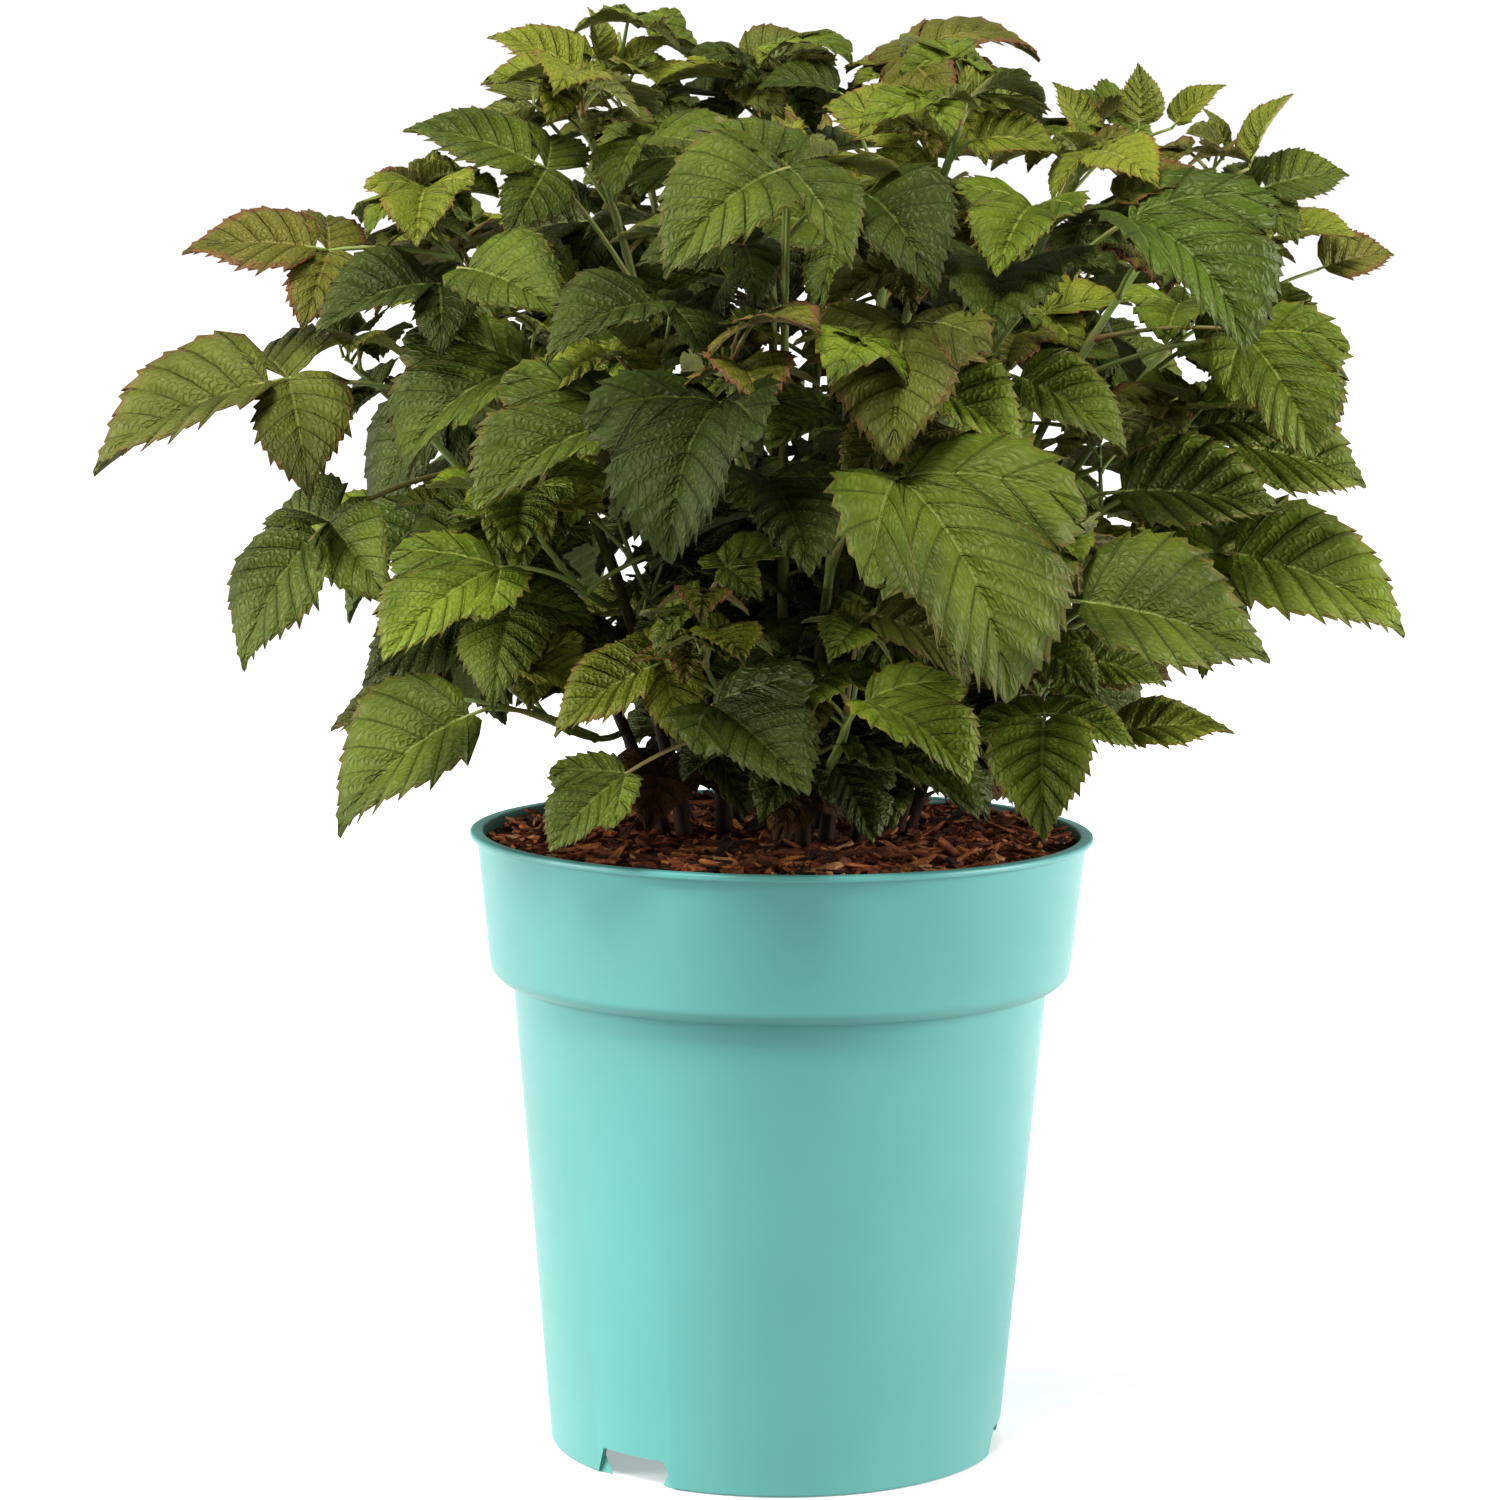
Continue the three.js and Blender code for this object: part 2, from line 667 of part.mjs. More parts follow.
// A blade's two skins, joined to a stalk at its base: over are the points across the top of the stalk
// from left to right, and under the points across its underside, with the left and right ones in both.
function bladeSkins(blade, over, under) {
  const rim = rimOf(blade, 1);
  const [top, bottom] = middlesOf(blade, LEAF.thickness * blade.length);
  const inner = (points) => points.slice(1, -1);
  const [left, right] = [over[0], over.at(-1)];
  return [
    ...fan(top, [right, ...rim, left, ...inner(over)]),
    ...fan(bottom, [left, ...rim.toReversed(), right, ...inner(under).reverse()]),
  ];
}

// A plain closed blade that is thicker and wider than the real one, to keep others away from it.
function guardOf(blade) {
  const loop = [blade.base, ...rimOf(blade, GUARD.widen)];
  const [top, bottom] = middlesOf(blade, GUARD.thickness);
  return solidOf(geometryOfFaces([...fan(top, loop), ...fan(bottom, loop.toReversed())]));
}

function geometryOfFaces(faces) {
  return geometryOf(faces.flat(), faces.map((face, i) => [3 * i, 3 * i + 1, 3 * i + 2]));
}

// A plain bar round the stalk and the hub, to keep others away from them.
function stalkGuard({ root, hub, frame }) {
  const end = hub.clone().addScaledVector(frame.along, LEAF.petioleRadius);
  return solidOf(limb(new THREE.LineCurve3(root, end), 0, 1, () => GUARD.stalk, 4, 1));
}

// Half the height of a stalk's section and the drop of its lower corners, as shares of its radius.
const STALK_TOP = 0.8;
const STALK_DROP = 0.5;

// The whole leaf as one closed skin: a stalk that opens at its end into one blade or three. The hub faces
// halfway between the stalk and the blade, so that neither is pinched where the stalk comes from the side.
function leafSolid({ root, hub, frame, blades }) {
  const radius = LEAF.petioleRadius;
  const rising = hub.clone().sub(root).normalize();
  const { normal } = frame;
  const ahead = rising.clone().addScaledVector(normal, -rising.dot(normal)).add(frame.along).normalize();
  const side = new THREE.Vector3().crossVectors(ahead, normal);
  const hubPoint = (forward, sideways, up) =>
    hub
      .clone()
      .addScaledVector(ahead, forward * radius)
      .addScaledVector(side, sideways * radius)
      .addScaledVector(normal, up * radius);
  const across = side.clone().addScaledVector(rising, -side.dot(rising)).setLength(radius);
  const above = new THREE.Vector3().crossVectors(across, rising).setLength(radius);
  const start = {
    top: root.clone().addScaledVector(above, STALK_TOP),
    right: root.clone().addScaledVector(across, STALK_TOP).addScaledVector(above, -STALK_DROP),
    left: root.clone().addScaledVector(across, -STALK_TOP).addScaledVector(above, -STALK_DROP),
  };
  const top = hubPoint(0, 0, STALK_TOP);
  const under = hubPoint(0, 0, -STALK_TOP);
  const backRight = hubPoint(-1, 1, 0);
  const backLeft = hubPoint(-1, -1, 0);
  const faces = [
    [start.top, start.left, start.right],
    [start.top, start.right, backRight],
    [start.top, backRight, top],
    [start.left, start.top, top],
    [start.left, top, backLeft],
    [start.right, start.left, under],
    [start.right, under, backRight],
    [start.left, backLeft, under],
  ];
  if (blades.length === 1) {
    faces.push(...bladeSkins(blades[0], [backLeft, top, backRight], [backLeft, under, backRight]));
  } else {
    const frontRight = hubPoint(1, 1, 0);
    const frontLeft = hubPoint(1, -1, 0);
    const corners = [
      [frontLeft, frontRight],
      [backLeft, frontLeft],
      [frontRight, backRight],
    ];
    blades.forEach((blade, i) => {
      const [left, right] = corners[i];
      faces.push(...bladeSkins(blade, [left, top, right], [left, under, right]));
    });
  }
  return solidOf(geometryOfFaces(faces));
}

// How a blade hangs from its hub for its tip to meet a place, bent by as much as it falls below its stalk.
function heldPose(root, { hub, tip }) {
  const stalk = new THREE.Vector3(...hub).sub(root);
  const run = new THREE.Vector3(...tip).sub(new THREE.Vector3(...hub));
  const fall = deg(Math.asin(run.z / run.length()));
  const rise = deg(Math.asin(stalk.z / stalk.length()));
  const bend = THREE.MathUtils.clamp(rise - fall, HELD.leastBend, HELD.mostBend);
  const arc = rad(bend / 2) / Math.sin(rad(bend / 2));
  return { heading: deg(Math.atan2(run.y, run.x)), pitch: fall + bend / 2, bend, length: run.length() * arc };
}

// How a leaf is held by the rule of its place on the stem.
function freePose(shoot, index, share) {
  const { seed } = shoot;
  const full = shoot.leaf * (1 - LEAF.taper * share ** LEAF.taperPower);
  const length = full * (1 + sway(seed, index, 1, STRAY.length));
  const spiral = shoot.first + index * LEAF.divergence + sway(seed, index, 0, STRAY.heading);
  return {
    length,
    bend: HANG.bend + sway(seed, index, 7, STRAY.bend),
    heading: shoot.outward + turn(spiral, shoot.outward) * shoot.fan,
    reach: length * LEAF.petiole * (1 + sway(seed, index, 3, STRAY.stalk)),
    rise: lerp(HANG.riseLow, HANG.riseHigh, share) + sway(seed, index, 2, STRAY.rise),
    pitch: lerp(HANG.pitchLow, HANG.pitchHigh, share) - shoot.droop + sway(seed, index, 4, STRAY.pitch),
  };
}

// The pose, hub and form of a held leaf. nudge turns, lifts and shrinks it when its first place is taken.
function heldStance(root, held, nudge) {
  const pose = heldPose(root, held);
  const plain = held.form === "lobed" ? pose.length / LEAF.lobedLength : pose.length;
  return {
    form: held.form,
    hub: new THREE.Vector3(...held.hub),
    heading: pose.heading + nudge.turn,
    pitch: pose.pitch + nudge.lift,
    bend: pose.bend,
    length: plain * nudge.shrink,
  };
}

// The same for a leaf that follows the rule.
function freeStance(shoot, index, share, root, nudge) {
  const pose = freePose(shoot, index, share);
  const heading = pose.heading + nudge.turn;
  const rise = pose.rise + nudge.lift / 2;
  const stalk = frameAt(heading, rise, 0).along.multiplyScalar(pose.reach * nudge.shrink);
  return {
    form: chance(shoot.seed, index, 6) < LEAF.lobedShare ? "lobed" : "three",
    hub: root.clone().add(stalk),
    heading,
    pitch: Math.max(pose.pitch + nudge.lift, rise - LEAF.nod),
    bend: pose.bend,
    length: pose.length * nudge.shrink,
  };
}

// A leaf's end blade and, where its form has them, its two side leaflets.
function bladesOf({ form, hub, bend, length }, frame, seed, index) {
  const lobed = form === "lobed";
  const end = {
    ...frame,
    form: lobed ? "lobed" : "end",
    hand: 0,
    base: hub,
    bend,
    length: lobed ? LEAF.lobedLength * length : length,
    width: length * (lobed ? LEAF.lobedWidth : LEAF.width),
  };
  if (form !== "three") return [end];
  const sides = [-1, 1].map((hand) => {
    const angle = rad(-hand * (LEAF.sideAngle + sway(seed, index, 9 + hand, STRAY.sideAngle)));
    return {
      form: "side",
      hand,
      base: hub,
      along: frame.along.clone().applyAxisAngle(frame.normal, angle),
      side: frame.side.clone().applyAxisAngle(frame.normal, angle),
      normal: frame.normal,
      bend: HANG.sideBend + sway(seed, index, 12 + hand, STRAY.sideBend),
      length: length * LEAF.sideShare,
      width: length * LEAF.sideShare * LEAF.width,
    };
  });
  return [end, ...sides];
}

// A leaf of a shoot, numbered from the lowest to the one at the tip.
function leafAt(shoot, index, nudge) {
  const { seed } = shoot;
  const share = index / (shoot.leaves - 1);
  const root = shoot.curve.getPoint(lerp(shoot.leafyFrom + LEAF.lowest, LEAF.highest, share));
  const held = shoot.held[index];
  const stance = held ? heldStance(root, held, nudge) : freeStance(shoot, index, share, root, nudge);
  const roll = sway(seed, index, 5, STRAY.roll) + LEAF.facing * headingVector(stance.heading).x;
  const frame = frameAt(stance.heading, stance.pitch, roll);
  return { root, hub: stance.hub, frame, blades: bladesOf(stance, frame, seed, index), held: Boolean(held) };
}

// ---------- Growing ----------

// What stands already, with its box, so that a new leaf can be kept clear of it.
const standing = [];

function stand(solid, owner) {
  const { min, max } = solid.boundingBox();
  standing.push({ solid, owner, box: new THREE.Box3(new THREE.Vector3(...min), new THREE.Vector3(...max)) });
}

function isClear(solid, besides) {
  const { min, max } = solid.boundingBox();
  const box = new THREE.Box3(new THREE.Vector3(...min), new THREE.Vector3(...max));
  return standing.every((other) => {
    if (other.owner === besides || !other.box.intersectsBox(box)) return true;
    return solid.intersect(other.solid).isEmpty();
  });
}

// A shoot's own space ends where another shoot's leafy stem is nearer by more than the overreach.
function inOwnSpace(shoot, point) {
  const distance = (other) => Math.min(...other.marks.map((mark) => mark.distanceTo(point)));
  const own = distance(shoot);
  return shoots.every((other) => other === shoot || own < distance(other) + SPACE.overreach);
}

// How far a leaf turns, lifts and shrinks from its own place at each attempt, which is nothing at the first.
function nudgeOf(shoot, index, attempt) {
  return {
    turn: NUDGE.turn * Math.ceil(attempt / 2) * (attempt % 2 ? 1 : -1),
    lift: attempt ? sway(shoot.seed, index, 20 + attempt, NUDGE.lift) : 0,
    shrink: 1 - NUDGE.shrink * attempt,
  };
}

// The first try at a leaf whose blades and stalk are clear and whose blades stay in the shoot's space.
function fittingLeaf(shoot, index) {
  for (let attempt = 0; attempt < NUDGE.attempts; attempt += 1) {
    const leaf = leafAt(shoot, index, nudgeOf(shoot, index, attempt));
    const tests = leaf.held ? [] : leaf.blades.map((blade) => midrib(blade, SPACE.test).at);
    if (!tests.every((point) => inOwnSpace(shoot, point))) continue;
    const guards = leaf.blades.map(guardOf);
    const stalk = stalkGuard(leaf);
    if (guards.every((guard) => isClear(guard, null)) && isClear(stalk, shoot.name)) {
      guards.forEach((guard) => stand(guard, "blade"));
      stand(stalk, shoot.name);
      return leaf;
    }
  }
  return null;
}

const shoots = [];

function addShoot(plan, curve, leafyFrom) {
  const [x, y] = plan.tip;
  const shoot = {
    held: {},
    ...plan,
    curve,
    leafyFrom,
    seed: shoots.length,
    outward: deg(Math.atan2(y, x)),
    fan: lerp(1, SPACE.fan, Math.min(1, Math.hypot(x, y) / SPACE.fanAt)),
    marks: [0, 0.5, 1].map((share) => curve.getPoint(lerp(leafyFrom, 1, share))),
  };
  shoots.push(shoot);
  return shoot;
}

const bush = new THREE.Group();
const pot = potSolid();
const soil = soilSolid();
bush.add(meshOf("pot", pot, COLOURS.pot));
bush.add(meshOf("soil", soil, COLOURS.soil));
stand(pot, "ground");
stand(soil, "ground");

for (const plan of CANES) {
  const curve = caneCurve(plan);
  const shoot = addShoot(plan, curve, plan.bare);
  const cane = solidOf(limb(curve, 0, plan.bare, caneRadius, CANE.sides, CANE.steps, true));
  const stemFrom = plan.bare + GAP / curve.getLength();
  shoot.mass = solidOf(limb(curve, stemFrom, 1, caneRadius, STEM.sides, STEM.steps));
  bush.add(meshOf(`cane_${plan.name}`, cane, COLOURS.cane));
  stand(cane, "cane");
  stand(shoot.mass, shoot.name);
}

for (const plan of SIDES) {
  const curve = sideCurve(plan, shoots.find((shoot) => shoot.name === plan.from));
  const radiusAt = (share) => lerp(SIDE_SHOOT.baseRadius, SIDE_SHOOT.tipRadius, share);
  const shoot = addShoot(plan, curve, SIDE_SHOOT.bare);
  shoot.mass = solidOf(limb(curve, 0, 1, radiusAt, SIDE_SHOOT.sides, SIDE_SHOOT.steps));
  stand(shoot.mass, shoot.name);
}

function grow(shoot, index) {
  const leaf = fittingLeaf(shoot, index);
  if (leaf) shoot.mass = shoot.mass.add(leafSolid(leaf));
}

// The held leaves first, and then the others from the lowest and largest upwards.
for (const shoot of shoots) {
  Object.keys(shoot.held).forEach((index) => grow(shoot, Number(index)));
}
for (let index = 0; shoots.some((shoot) => index < shoot.leaves); index += 1) {
  for (const shoot of shoots) {
    if (!shoot.held[index] && index < shoot.leaves) grow(shoot, index);
  }
}
shoots.forEach(({ name, mass }) => bush.add(meshOf(`leaves_${name}`, mass, COLOURS.foliage)));

export default bush;
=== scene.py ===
"""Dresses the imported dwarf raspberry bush: pot, mulch, canes, twigs and leaves.

Shapes are worked out in millimetres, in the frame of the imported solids, and Skin.build turns them
to metres. A heading is an angle round Z, from +X towards +Y, and the front of the bush is -Y.
"""

import logging
import math
from collections.abc import Callable, Iterable, Sequence
from dataclasses import dataclass, field, replace
from enum import Enum, IntEnum
from typing import ClassVar

import bpy
import numpy as np
from bpy.types import Light, Material, Node, NodeSocket, NodeTree, Object
from mathutils import Matrix, Vector, noise
from mathutils.bvhtree import BVHTree
from mathutils.kdtree import KDTree


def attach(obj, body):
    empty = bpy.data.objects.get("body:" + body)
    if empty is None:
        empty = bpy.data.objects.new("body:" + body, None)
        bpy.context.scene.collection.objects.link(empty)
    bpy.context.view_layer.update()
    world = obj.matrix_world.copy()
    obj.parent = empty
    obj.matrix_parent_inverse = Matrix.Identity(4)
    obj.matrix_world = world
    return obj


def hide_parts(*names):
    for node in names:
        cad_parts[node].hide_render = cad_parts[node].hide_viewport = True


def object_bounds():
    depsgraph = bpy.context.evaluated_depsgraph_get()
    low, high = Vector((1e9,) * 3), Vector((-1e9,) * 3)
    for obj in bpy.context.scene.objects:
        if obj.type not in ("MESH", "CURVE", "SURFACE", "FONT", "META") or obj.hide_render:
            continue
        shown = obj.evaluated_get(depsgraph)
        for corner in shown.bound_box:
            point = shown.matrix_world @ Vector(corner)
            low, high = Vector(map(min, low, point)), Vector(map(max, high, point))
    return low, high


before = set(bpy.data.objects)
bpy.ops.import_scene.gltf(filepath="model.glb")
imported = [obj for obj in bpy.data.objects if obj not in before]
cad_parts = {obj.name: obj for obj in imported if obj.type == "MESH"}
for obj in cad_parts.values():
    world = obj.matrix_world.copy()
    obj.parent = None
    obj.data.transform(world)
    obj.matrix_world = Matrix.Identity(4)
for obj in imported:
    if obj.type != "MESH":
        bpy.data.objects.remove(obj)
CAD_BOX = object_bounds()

LOG = logging.getLogger("bush")
BODY = "root"
MM = 0.001
UP = np.array((0.0, 0.0, 1.0))
Array = np.ndarray
Number = float | Array
Pair = tuple[float, float]
Triple = tuple[float, float, float]
# A body's points and its triangles.
Shape = tuple[Array, Array]


# ---------- Small tools ----------


def rad(angle: float) -> float:
    """Degrees to radians."""
    return math.radians(angle)


def lerp(a: Number, b: Number, share: Number) -> Number:
    """The value at a share of the way from a to b, for numbers and for arrays."""
    return a + (b - a) * share


def unit(vector: Array) -> Array:
    """The vector at length 1."""
    return vector / np.linalg.norm(vector)


def heading_vector(heading: float) -> Array:
    """The level direction at a heading in degrees."""
    return np.array((math.cos(rad(heading)), math.sin(rad(heading)), 0.0))


def turned(vector: Array, axis: Array, angle: float) -> Array:
    """A vector turned about a unit axis by an angle in radians."""
    along = axis * float(vector @ axis)
    return along + (vector - along) * math.cos(angle) + np.cross(axis, vector) * math.sin(angle)


def turn_between(a: float, b: float) -> float:
    """The angle in -180 to 180 degrees that turns from b to a."""
    return (math.fmod(a - b, 360.0) + 540.0) % 360.0 - 180.0


def alternate(attempt: int) -> int:
    """0, 1, -1, 2, -2 and so on: attempts to either side of the first."""
    return math.ceil(attempt / 2) * (1 if attempt % 2 else -1)


def ring(sides: int) -> Array:
    """The level directions of evenly spread headings, one row each."""
    angles = 2 * math.pi * np.arange(sides) / sides
    return np.stack([np.cos(angles), np.sin(angles)], -1)


class Draw(IntEnum):
    """Which chance of a leaf is drawn. Those up to LIFT are drawn by the solids too.

    To some of them a hand of 1 or -1, a blade's number or an attempt is added.
    """

    HEADING = 0
    LENGTH = 1
    RISE = 2
    STALK = 3
    PITCH = 4
    ROLL = 5
    LOBED = 6
    BEND = 7
    SIDE_ANGLE = 9
    SIDE_BEND = 12
    LIFT = 20
    PATTERN = 40
    TWIST = 44
    FOLD = 48
    CURL = 52
    WAVE = 56
    SMALL_PLACE = 58
    SMALL_HEADING = 59
    SMALL_SIZE = 60
    SMALL_STALK = 61
    SMALL_NOD = 62
    SMALL_ROLL = 63
    SMALL_BEND = 64
    SMALL_LOBED = 65
    SMALL_RISE = 66
    HAS_TWIG = 70
    TWIG_LENGTH = 71
    TONE = 80
    BLUSH = 90
    CANE_RINGS = 91


def chance(shoot: int, leaf: int, which: int) -> float:
    """A fixed share of 0 to 1 for whole-number keys, the same as the solids grow by.

    Args:
        shoot: the shoot's number.
        leaf: the leaf's number.
        which: which of the leaf's chances it is.

    Returns:
        The share.
    """
    low = 0xFFFFFFFF
    h = ((shoot + 1) * 0x9E3779B1 ^ (leaf + 1) * 0x85EBCA6B ^ (which + 1) * 0xC2B2AE35) & low
    h = ((h ^ (h >> 15)) * 0x2C1B3C6D) & low
    h = ((h ^ (h >> 12)) * 0x297A2D39) & low
    return (h ^ (h >> 15)) / 4294967296


def sway(shoot: int, leaf: int, which: int, most: float) -> float:
    """A fixed number between -most and most."""
    return (2 * chance(shoot, leaf, which) - 1) * most


def smooth_noise(points: Array, size: float, seed: float) -> Array:
    """Soft noise of about -1 to 1 at each point, with blobs of a size in the points' units."""
    shift = Vector((seed * 17.3, seed * 5.1, seed * 9.7))
    return np.array([noise.noise(Vector(p) / size + shift) for p in points])


# ---------- Shader maths ----------


@dataclass(frozen=True)
class Wire:
    """A socket that carries one number. An expression on it adds its Math nodes."""

    board: "Board"
    socket: NodeSocket

    def _math(self, operation: str, first: object, second: object) -> "Wire":
        """Adds one Math node and gives its result."""
        made = self.board.add("ShaderNodeMath", {"operation": operation}, {0: first, 1: second})
        return Wire(self.board, made.outputs[0])

    def __add__(self, other: object) -> "Wire":
        """self + other."""
        return self._math("ADD", self, other)

    __radd__ = __add__

    def __sub__(self, other: object) -> "Wire":
        """self - other."""
        return self._math("SUBTRACT", self, other)

    def __rsub__(self, other: object) -> "Wire":
        """other - self."""
        return self._math("SUBTRACT", other, self)

    def __mul__(self, other: object) -> "Wire":
        """self * other."""
        return self._math("MULTIPLY", self, other)

    __rmul__ = __mul__

    def from_whole(self) -> "Wire":
        """The distance to the nearest whole number."""
        return self._math("PINGPONG", self, 0.5)

    def eased(self, start: float, end: float) -> "Wire":
        """A smooth step from 0 at start to 1 at end."""
        made = self.board.add("ShaderNodeMapRange", {"interpolation_type": "SMOOTHSTEP"},
                              {"Value": self, "From Min": start, "From Max": end})
        return Wire(self.board, made.outputs["Result"])


class Nodes:
    """A tree of nodes, which all come from one method."""

    def __init__(self, tree: NodeTree) -> None:
        """Takes the tree that the nodes are added to."""
        self.tree = tree

    def feed(self, node: Node, socket: object, value: object) -> None:
        """Links a wire or an output to a node's socket, or sets a plain value on it.

        Args:
            node: the node.
            socket: the name or number of its socket.
            value: the wire, the output or the plain value.
        """
        target = node.inputs[socket]
        if isinstance(value, Wire):
            self.tree.links.new(value.socket, target)
        elif isinstance(value, NodeSocket):
            self.tree.links.new(value, target)
        else:
            target.default_value = value

    def add(self, kind: str, settings: dict | None = None, sockets: dict | None = None) -> Node:
        """Adds a node.

        Args:
            kind: the node's type.
            settings: its settings, which are set first.
            sockets: the values or links of its sockets, by name or number.

        Returns:
            The new node.
        """
        node = self.tree.nodes.new(kind)
        for key, value in (settings or {}).items():
            setattr(node, key, value)
        for key, value in (sockets or {}).items():
            self.feed(node, key, value)
        return node


class Board(Nodes):
    """The node board of one material, with a Principled shader at its end."""

    def __init__(self, name: str, **constants: object) -> None:
        """Starts the material.

        Args:
            name: the material's name.
            constants: sockets of the shader that are the same all over, spaces as underscores.
        """
        self.material = bpy.data.materials.new(name)
        self.material.use_nodes = True
        super().__init__(self.material.node_tree)
        self.tree.nodes.clear()
        output = self.add("ShaderNodeOutputMaterial")
        self.shader = self.add("ShaderNodeBsdfPrincipled")
        self.feed(output, "Surface", self.shader.outputs[0])
        self.finish(**constants)

    def mix(self, mask: object, a: object, b: object) -> NodeSocket:
        """A colour between a and b by a mask of 0 to 1.

        Args:
            mask: how much of b shows.
            a: the first colour.
            b: the second colour.

        Returns:
            The mixed colour.
        """
        made = self.add("ShaderNodeMix", {"data_type": "RGBA"}, {"Factor": mask})
        ends = [i for i, socket in enumerate(made.inputs) if socket.type == "RGBA"]
        for socket, value in zip(ends, (a, b)):
            self.feed(made, socket, value)
        return next(s for s in made.outputs if s.type == "RGBA")

    def place(self, scale: Triple = (1, 1, 1)) -> NodeSocket:
        """The object's own coordinates in metres, scaled."""
        where = self.add("ShaderNodeTexCoord").outputs["Object"]
        made = self.add("ShaderNodeVectorMath", {"operation": "MULTIPLY"}, {0: where, 1: scale})
        return made.outputs[0]

    def speckle(self, vector: object, size: float, detail: float = 2.0, rough: float = 0.5) -> Wire:
        """Noise of 0 to 1 with blobs of a size in metres."""
        made = self.add("ShaderNodeTexNoise", None, {
            "Vector": vector, "Scale": 1 / size, "Detail": detail, "Roughness": rough})
        return Wire(self, made.outputs["Fac"])

    def bump(self, height: Wire, depth: float, strength: float = 1.0) -> None:
        """Raises the surface by a height of 0 to 1 times a depth in metres."""
        made = self.add("ShaderNodeBump", None,
                        {"Strength": strength, "Distance": depth, "Height": height})
        self.feed(self.shader, "Normal", made.outputs["Normal"])

    def finish(self, **sockets: object) -> Material:
        """Feeds the shader's sockets that change over the surface and gives the material.

        Args:
            sockets: what they are fed, with underscores in their names for spaces.

        Returns:
            The material.
        """
        for socket, value in sockets.items():
            self.feed(self.shader, socket.replace("_", " "), value)
        return self.material


def colour(code: str) -> tuple[float, float, float, float]:
    """A hex colour as the screen shows it, turned to the shader's linear values.

    Args:
        code: a # and six hex digits.

    Returns:
        Red, green, blue and a solid alpha.
    """
    shares = [int(code[i:i + 2], 16) / 255 for i in (1, 3, 5)]
    linear = [s / 12.92 if s <= 0.04045 else ((s + 0.055) / 1.055) ** 2.4 for s in shares]
    return (*linear, 1.0)


# ---------- Finishes ----------


@dataclass(frozen=True)
class PotPlastic:
    """Satin moulded polypropylene with a faint grain and rubbed patches."""

    base: str = "#66bbb3"
    shade: str = "#60b3ab"

    def material(self) -> Material:
        """Makes the material.

        Returns:
            The material.
        """
        board = Board("turquoise_plastic", Specular_IOR_Level=0.6)
        where = board.place()
        cloud = board.speckle(where, 0.09, 3.0)
        fine = board.speckle(where, 0.0012, 2.0)
        rubbed = board.speckle(board.place((1, 1, 4)), 0.02, 4.0, 0.7)
        base = board.mix(cloud.eased(0.3, 0.75), colour(self.base), colour(self.shade))
        board.bump(fine, 0.00006, 0.35)
        return board.finish(Base_Color=base, Roughness=0.34 + 0.12 * rubbed)


@dataclass(frozen=True)
class Bark:
    """One colour of shredded conifer bark, with its fibres."""

    name: str
    base: str
    dark: str

    def material(self) -> Material:
        """Makes the material.

        Returns:
            The material.
        """
        board = Board(self.name, Specular_IOR_Level=0.3)
        where = board.place()
        patch = board.speckle(where, 0.006, 4.0, 0.65)
        fibre = board.speckle(where, 0.0011, 3.0, 0.7)
        tone = board.mix(patch.eased(0.34, 0.66), colour(self.base), colour(self.dark))
        tone = board.mix(fibre.eased(0.5, 0.78) * 0.55, tone, colour(self.dark))
        board.bump(fibre, 0.0006, 0.8)
        return board.finish(Base_Color=tone, Roughness=0.78 + 0.2 * patch)


@dataclass(frozen=True)
class CaneBark:
    """Skin of a cane: brown and fissured near the soil, olive green higher up. The brown is the old
    wood's own colour, made darker as painted shade low down under the foliage.
    """

    green: str = "#65742c"
    olive: str = "#4a4a1e"
    brown: str = "#2e1d0e"
    brown_below: float = 0.29
    green_above: float = 0.39

    def material(self) -> Material:
        """Makes the material.

        Returns:
            The material.
        """
        board = Board("cane_bark", Specular_IOR_Level=0.15)
        where = board.place()
        parts = board.add("ShaderNodeSeparateXYZ", None, {0: where})
        height = Wire(board, parts.outputs["Z"])
        streak = board.speckle(board.place((1, 1, 0.12)), 0.0016, 3.0, 0.6)
        patch = board.speckle(where, 0.012, 3.0)
        # Brown towards the soil: partly the old wood's own colour, partly painted shade under the
        # foliage.
        aged_and_shaded = (height + 0.05 * patch).eased(self.brown_below, self.green_above)
        tone = board.mix(aged_and_shaded, colour(self.brown), colour(self.olive))
        tone = board.mix(aged_and_shaded * patch.eased(0.35, 0.7), tone, colour(self.green))
        tone = board.mix(streak.eased(0.52, 0.8) * 0.4, tone, colour(self.brown))
        board.bump(streak, 0.0005, 0.7)
        return board.finish(Base_Color=tone, Roughness=0.5 + 0.25 * patch)


@dataclass(frozen=True)
class GreenStem:
    """Soft skin of a young stem or a leaf stalk."""

    name: str
    base: str
    blush: str

    def material(self) -> Material:
        """Makes the material.

        Returns:
            The material.
        """
        board = Board(self.name, Specular_IOR_Level=0.4)
        where = board.place()
        patch = board.speckle(where, 0.009, 2.0)
        fine = board.speckle(where, 0.0009, 2.0)
        tone = board.mix(patch.eased(0.42, 0.75) * 0.8, colour(self.base), colour(self.blush))
        board.bump(fine, 0.0002, 0.5)
        return board.finish(Base_Color=tone, Roughness=0.45 + 0.15 * patch)


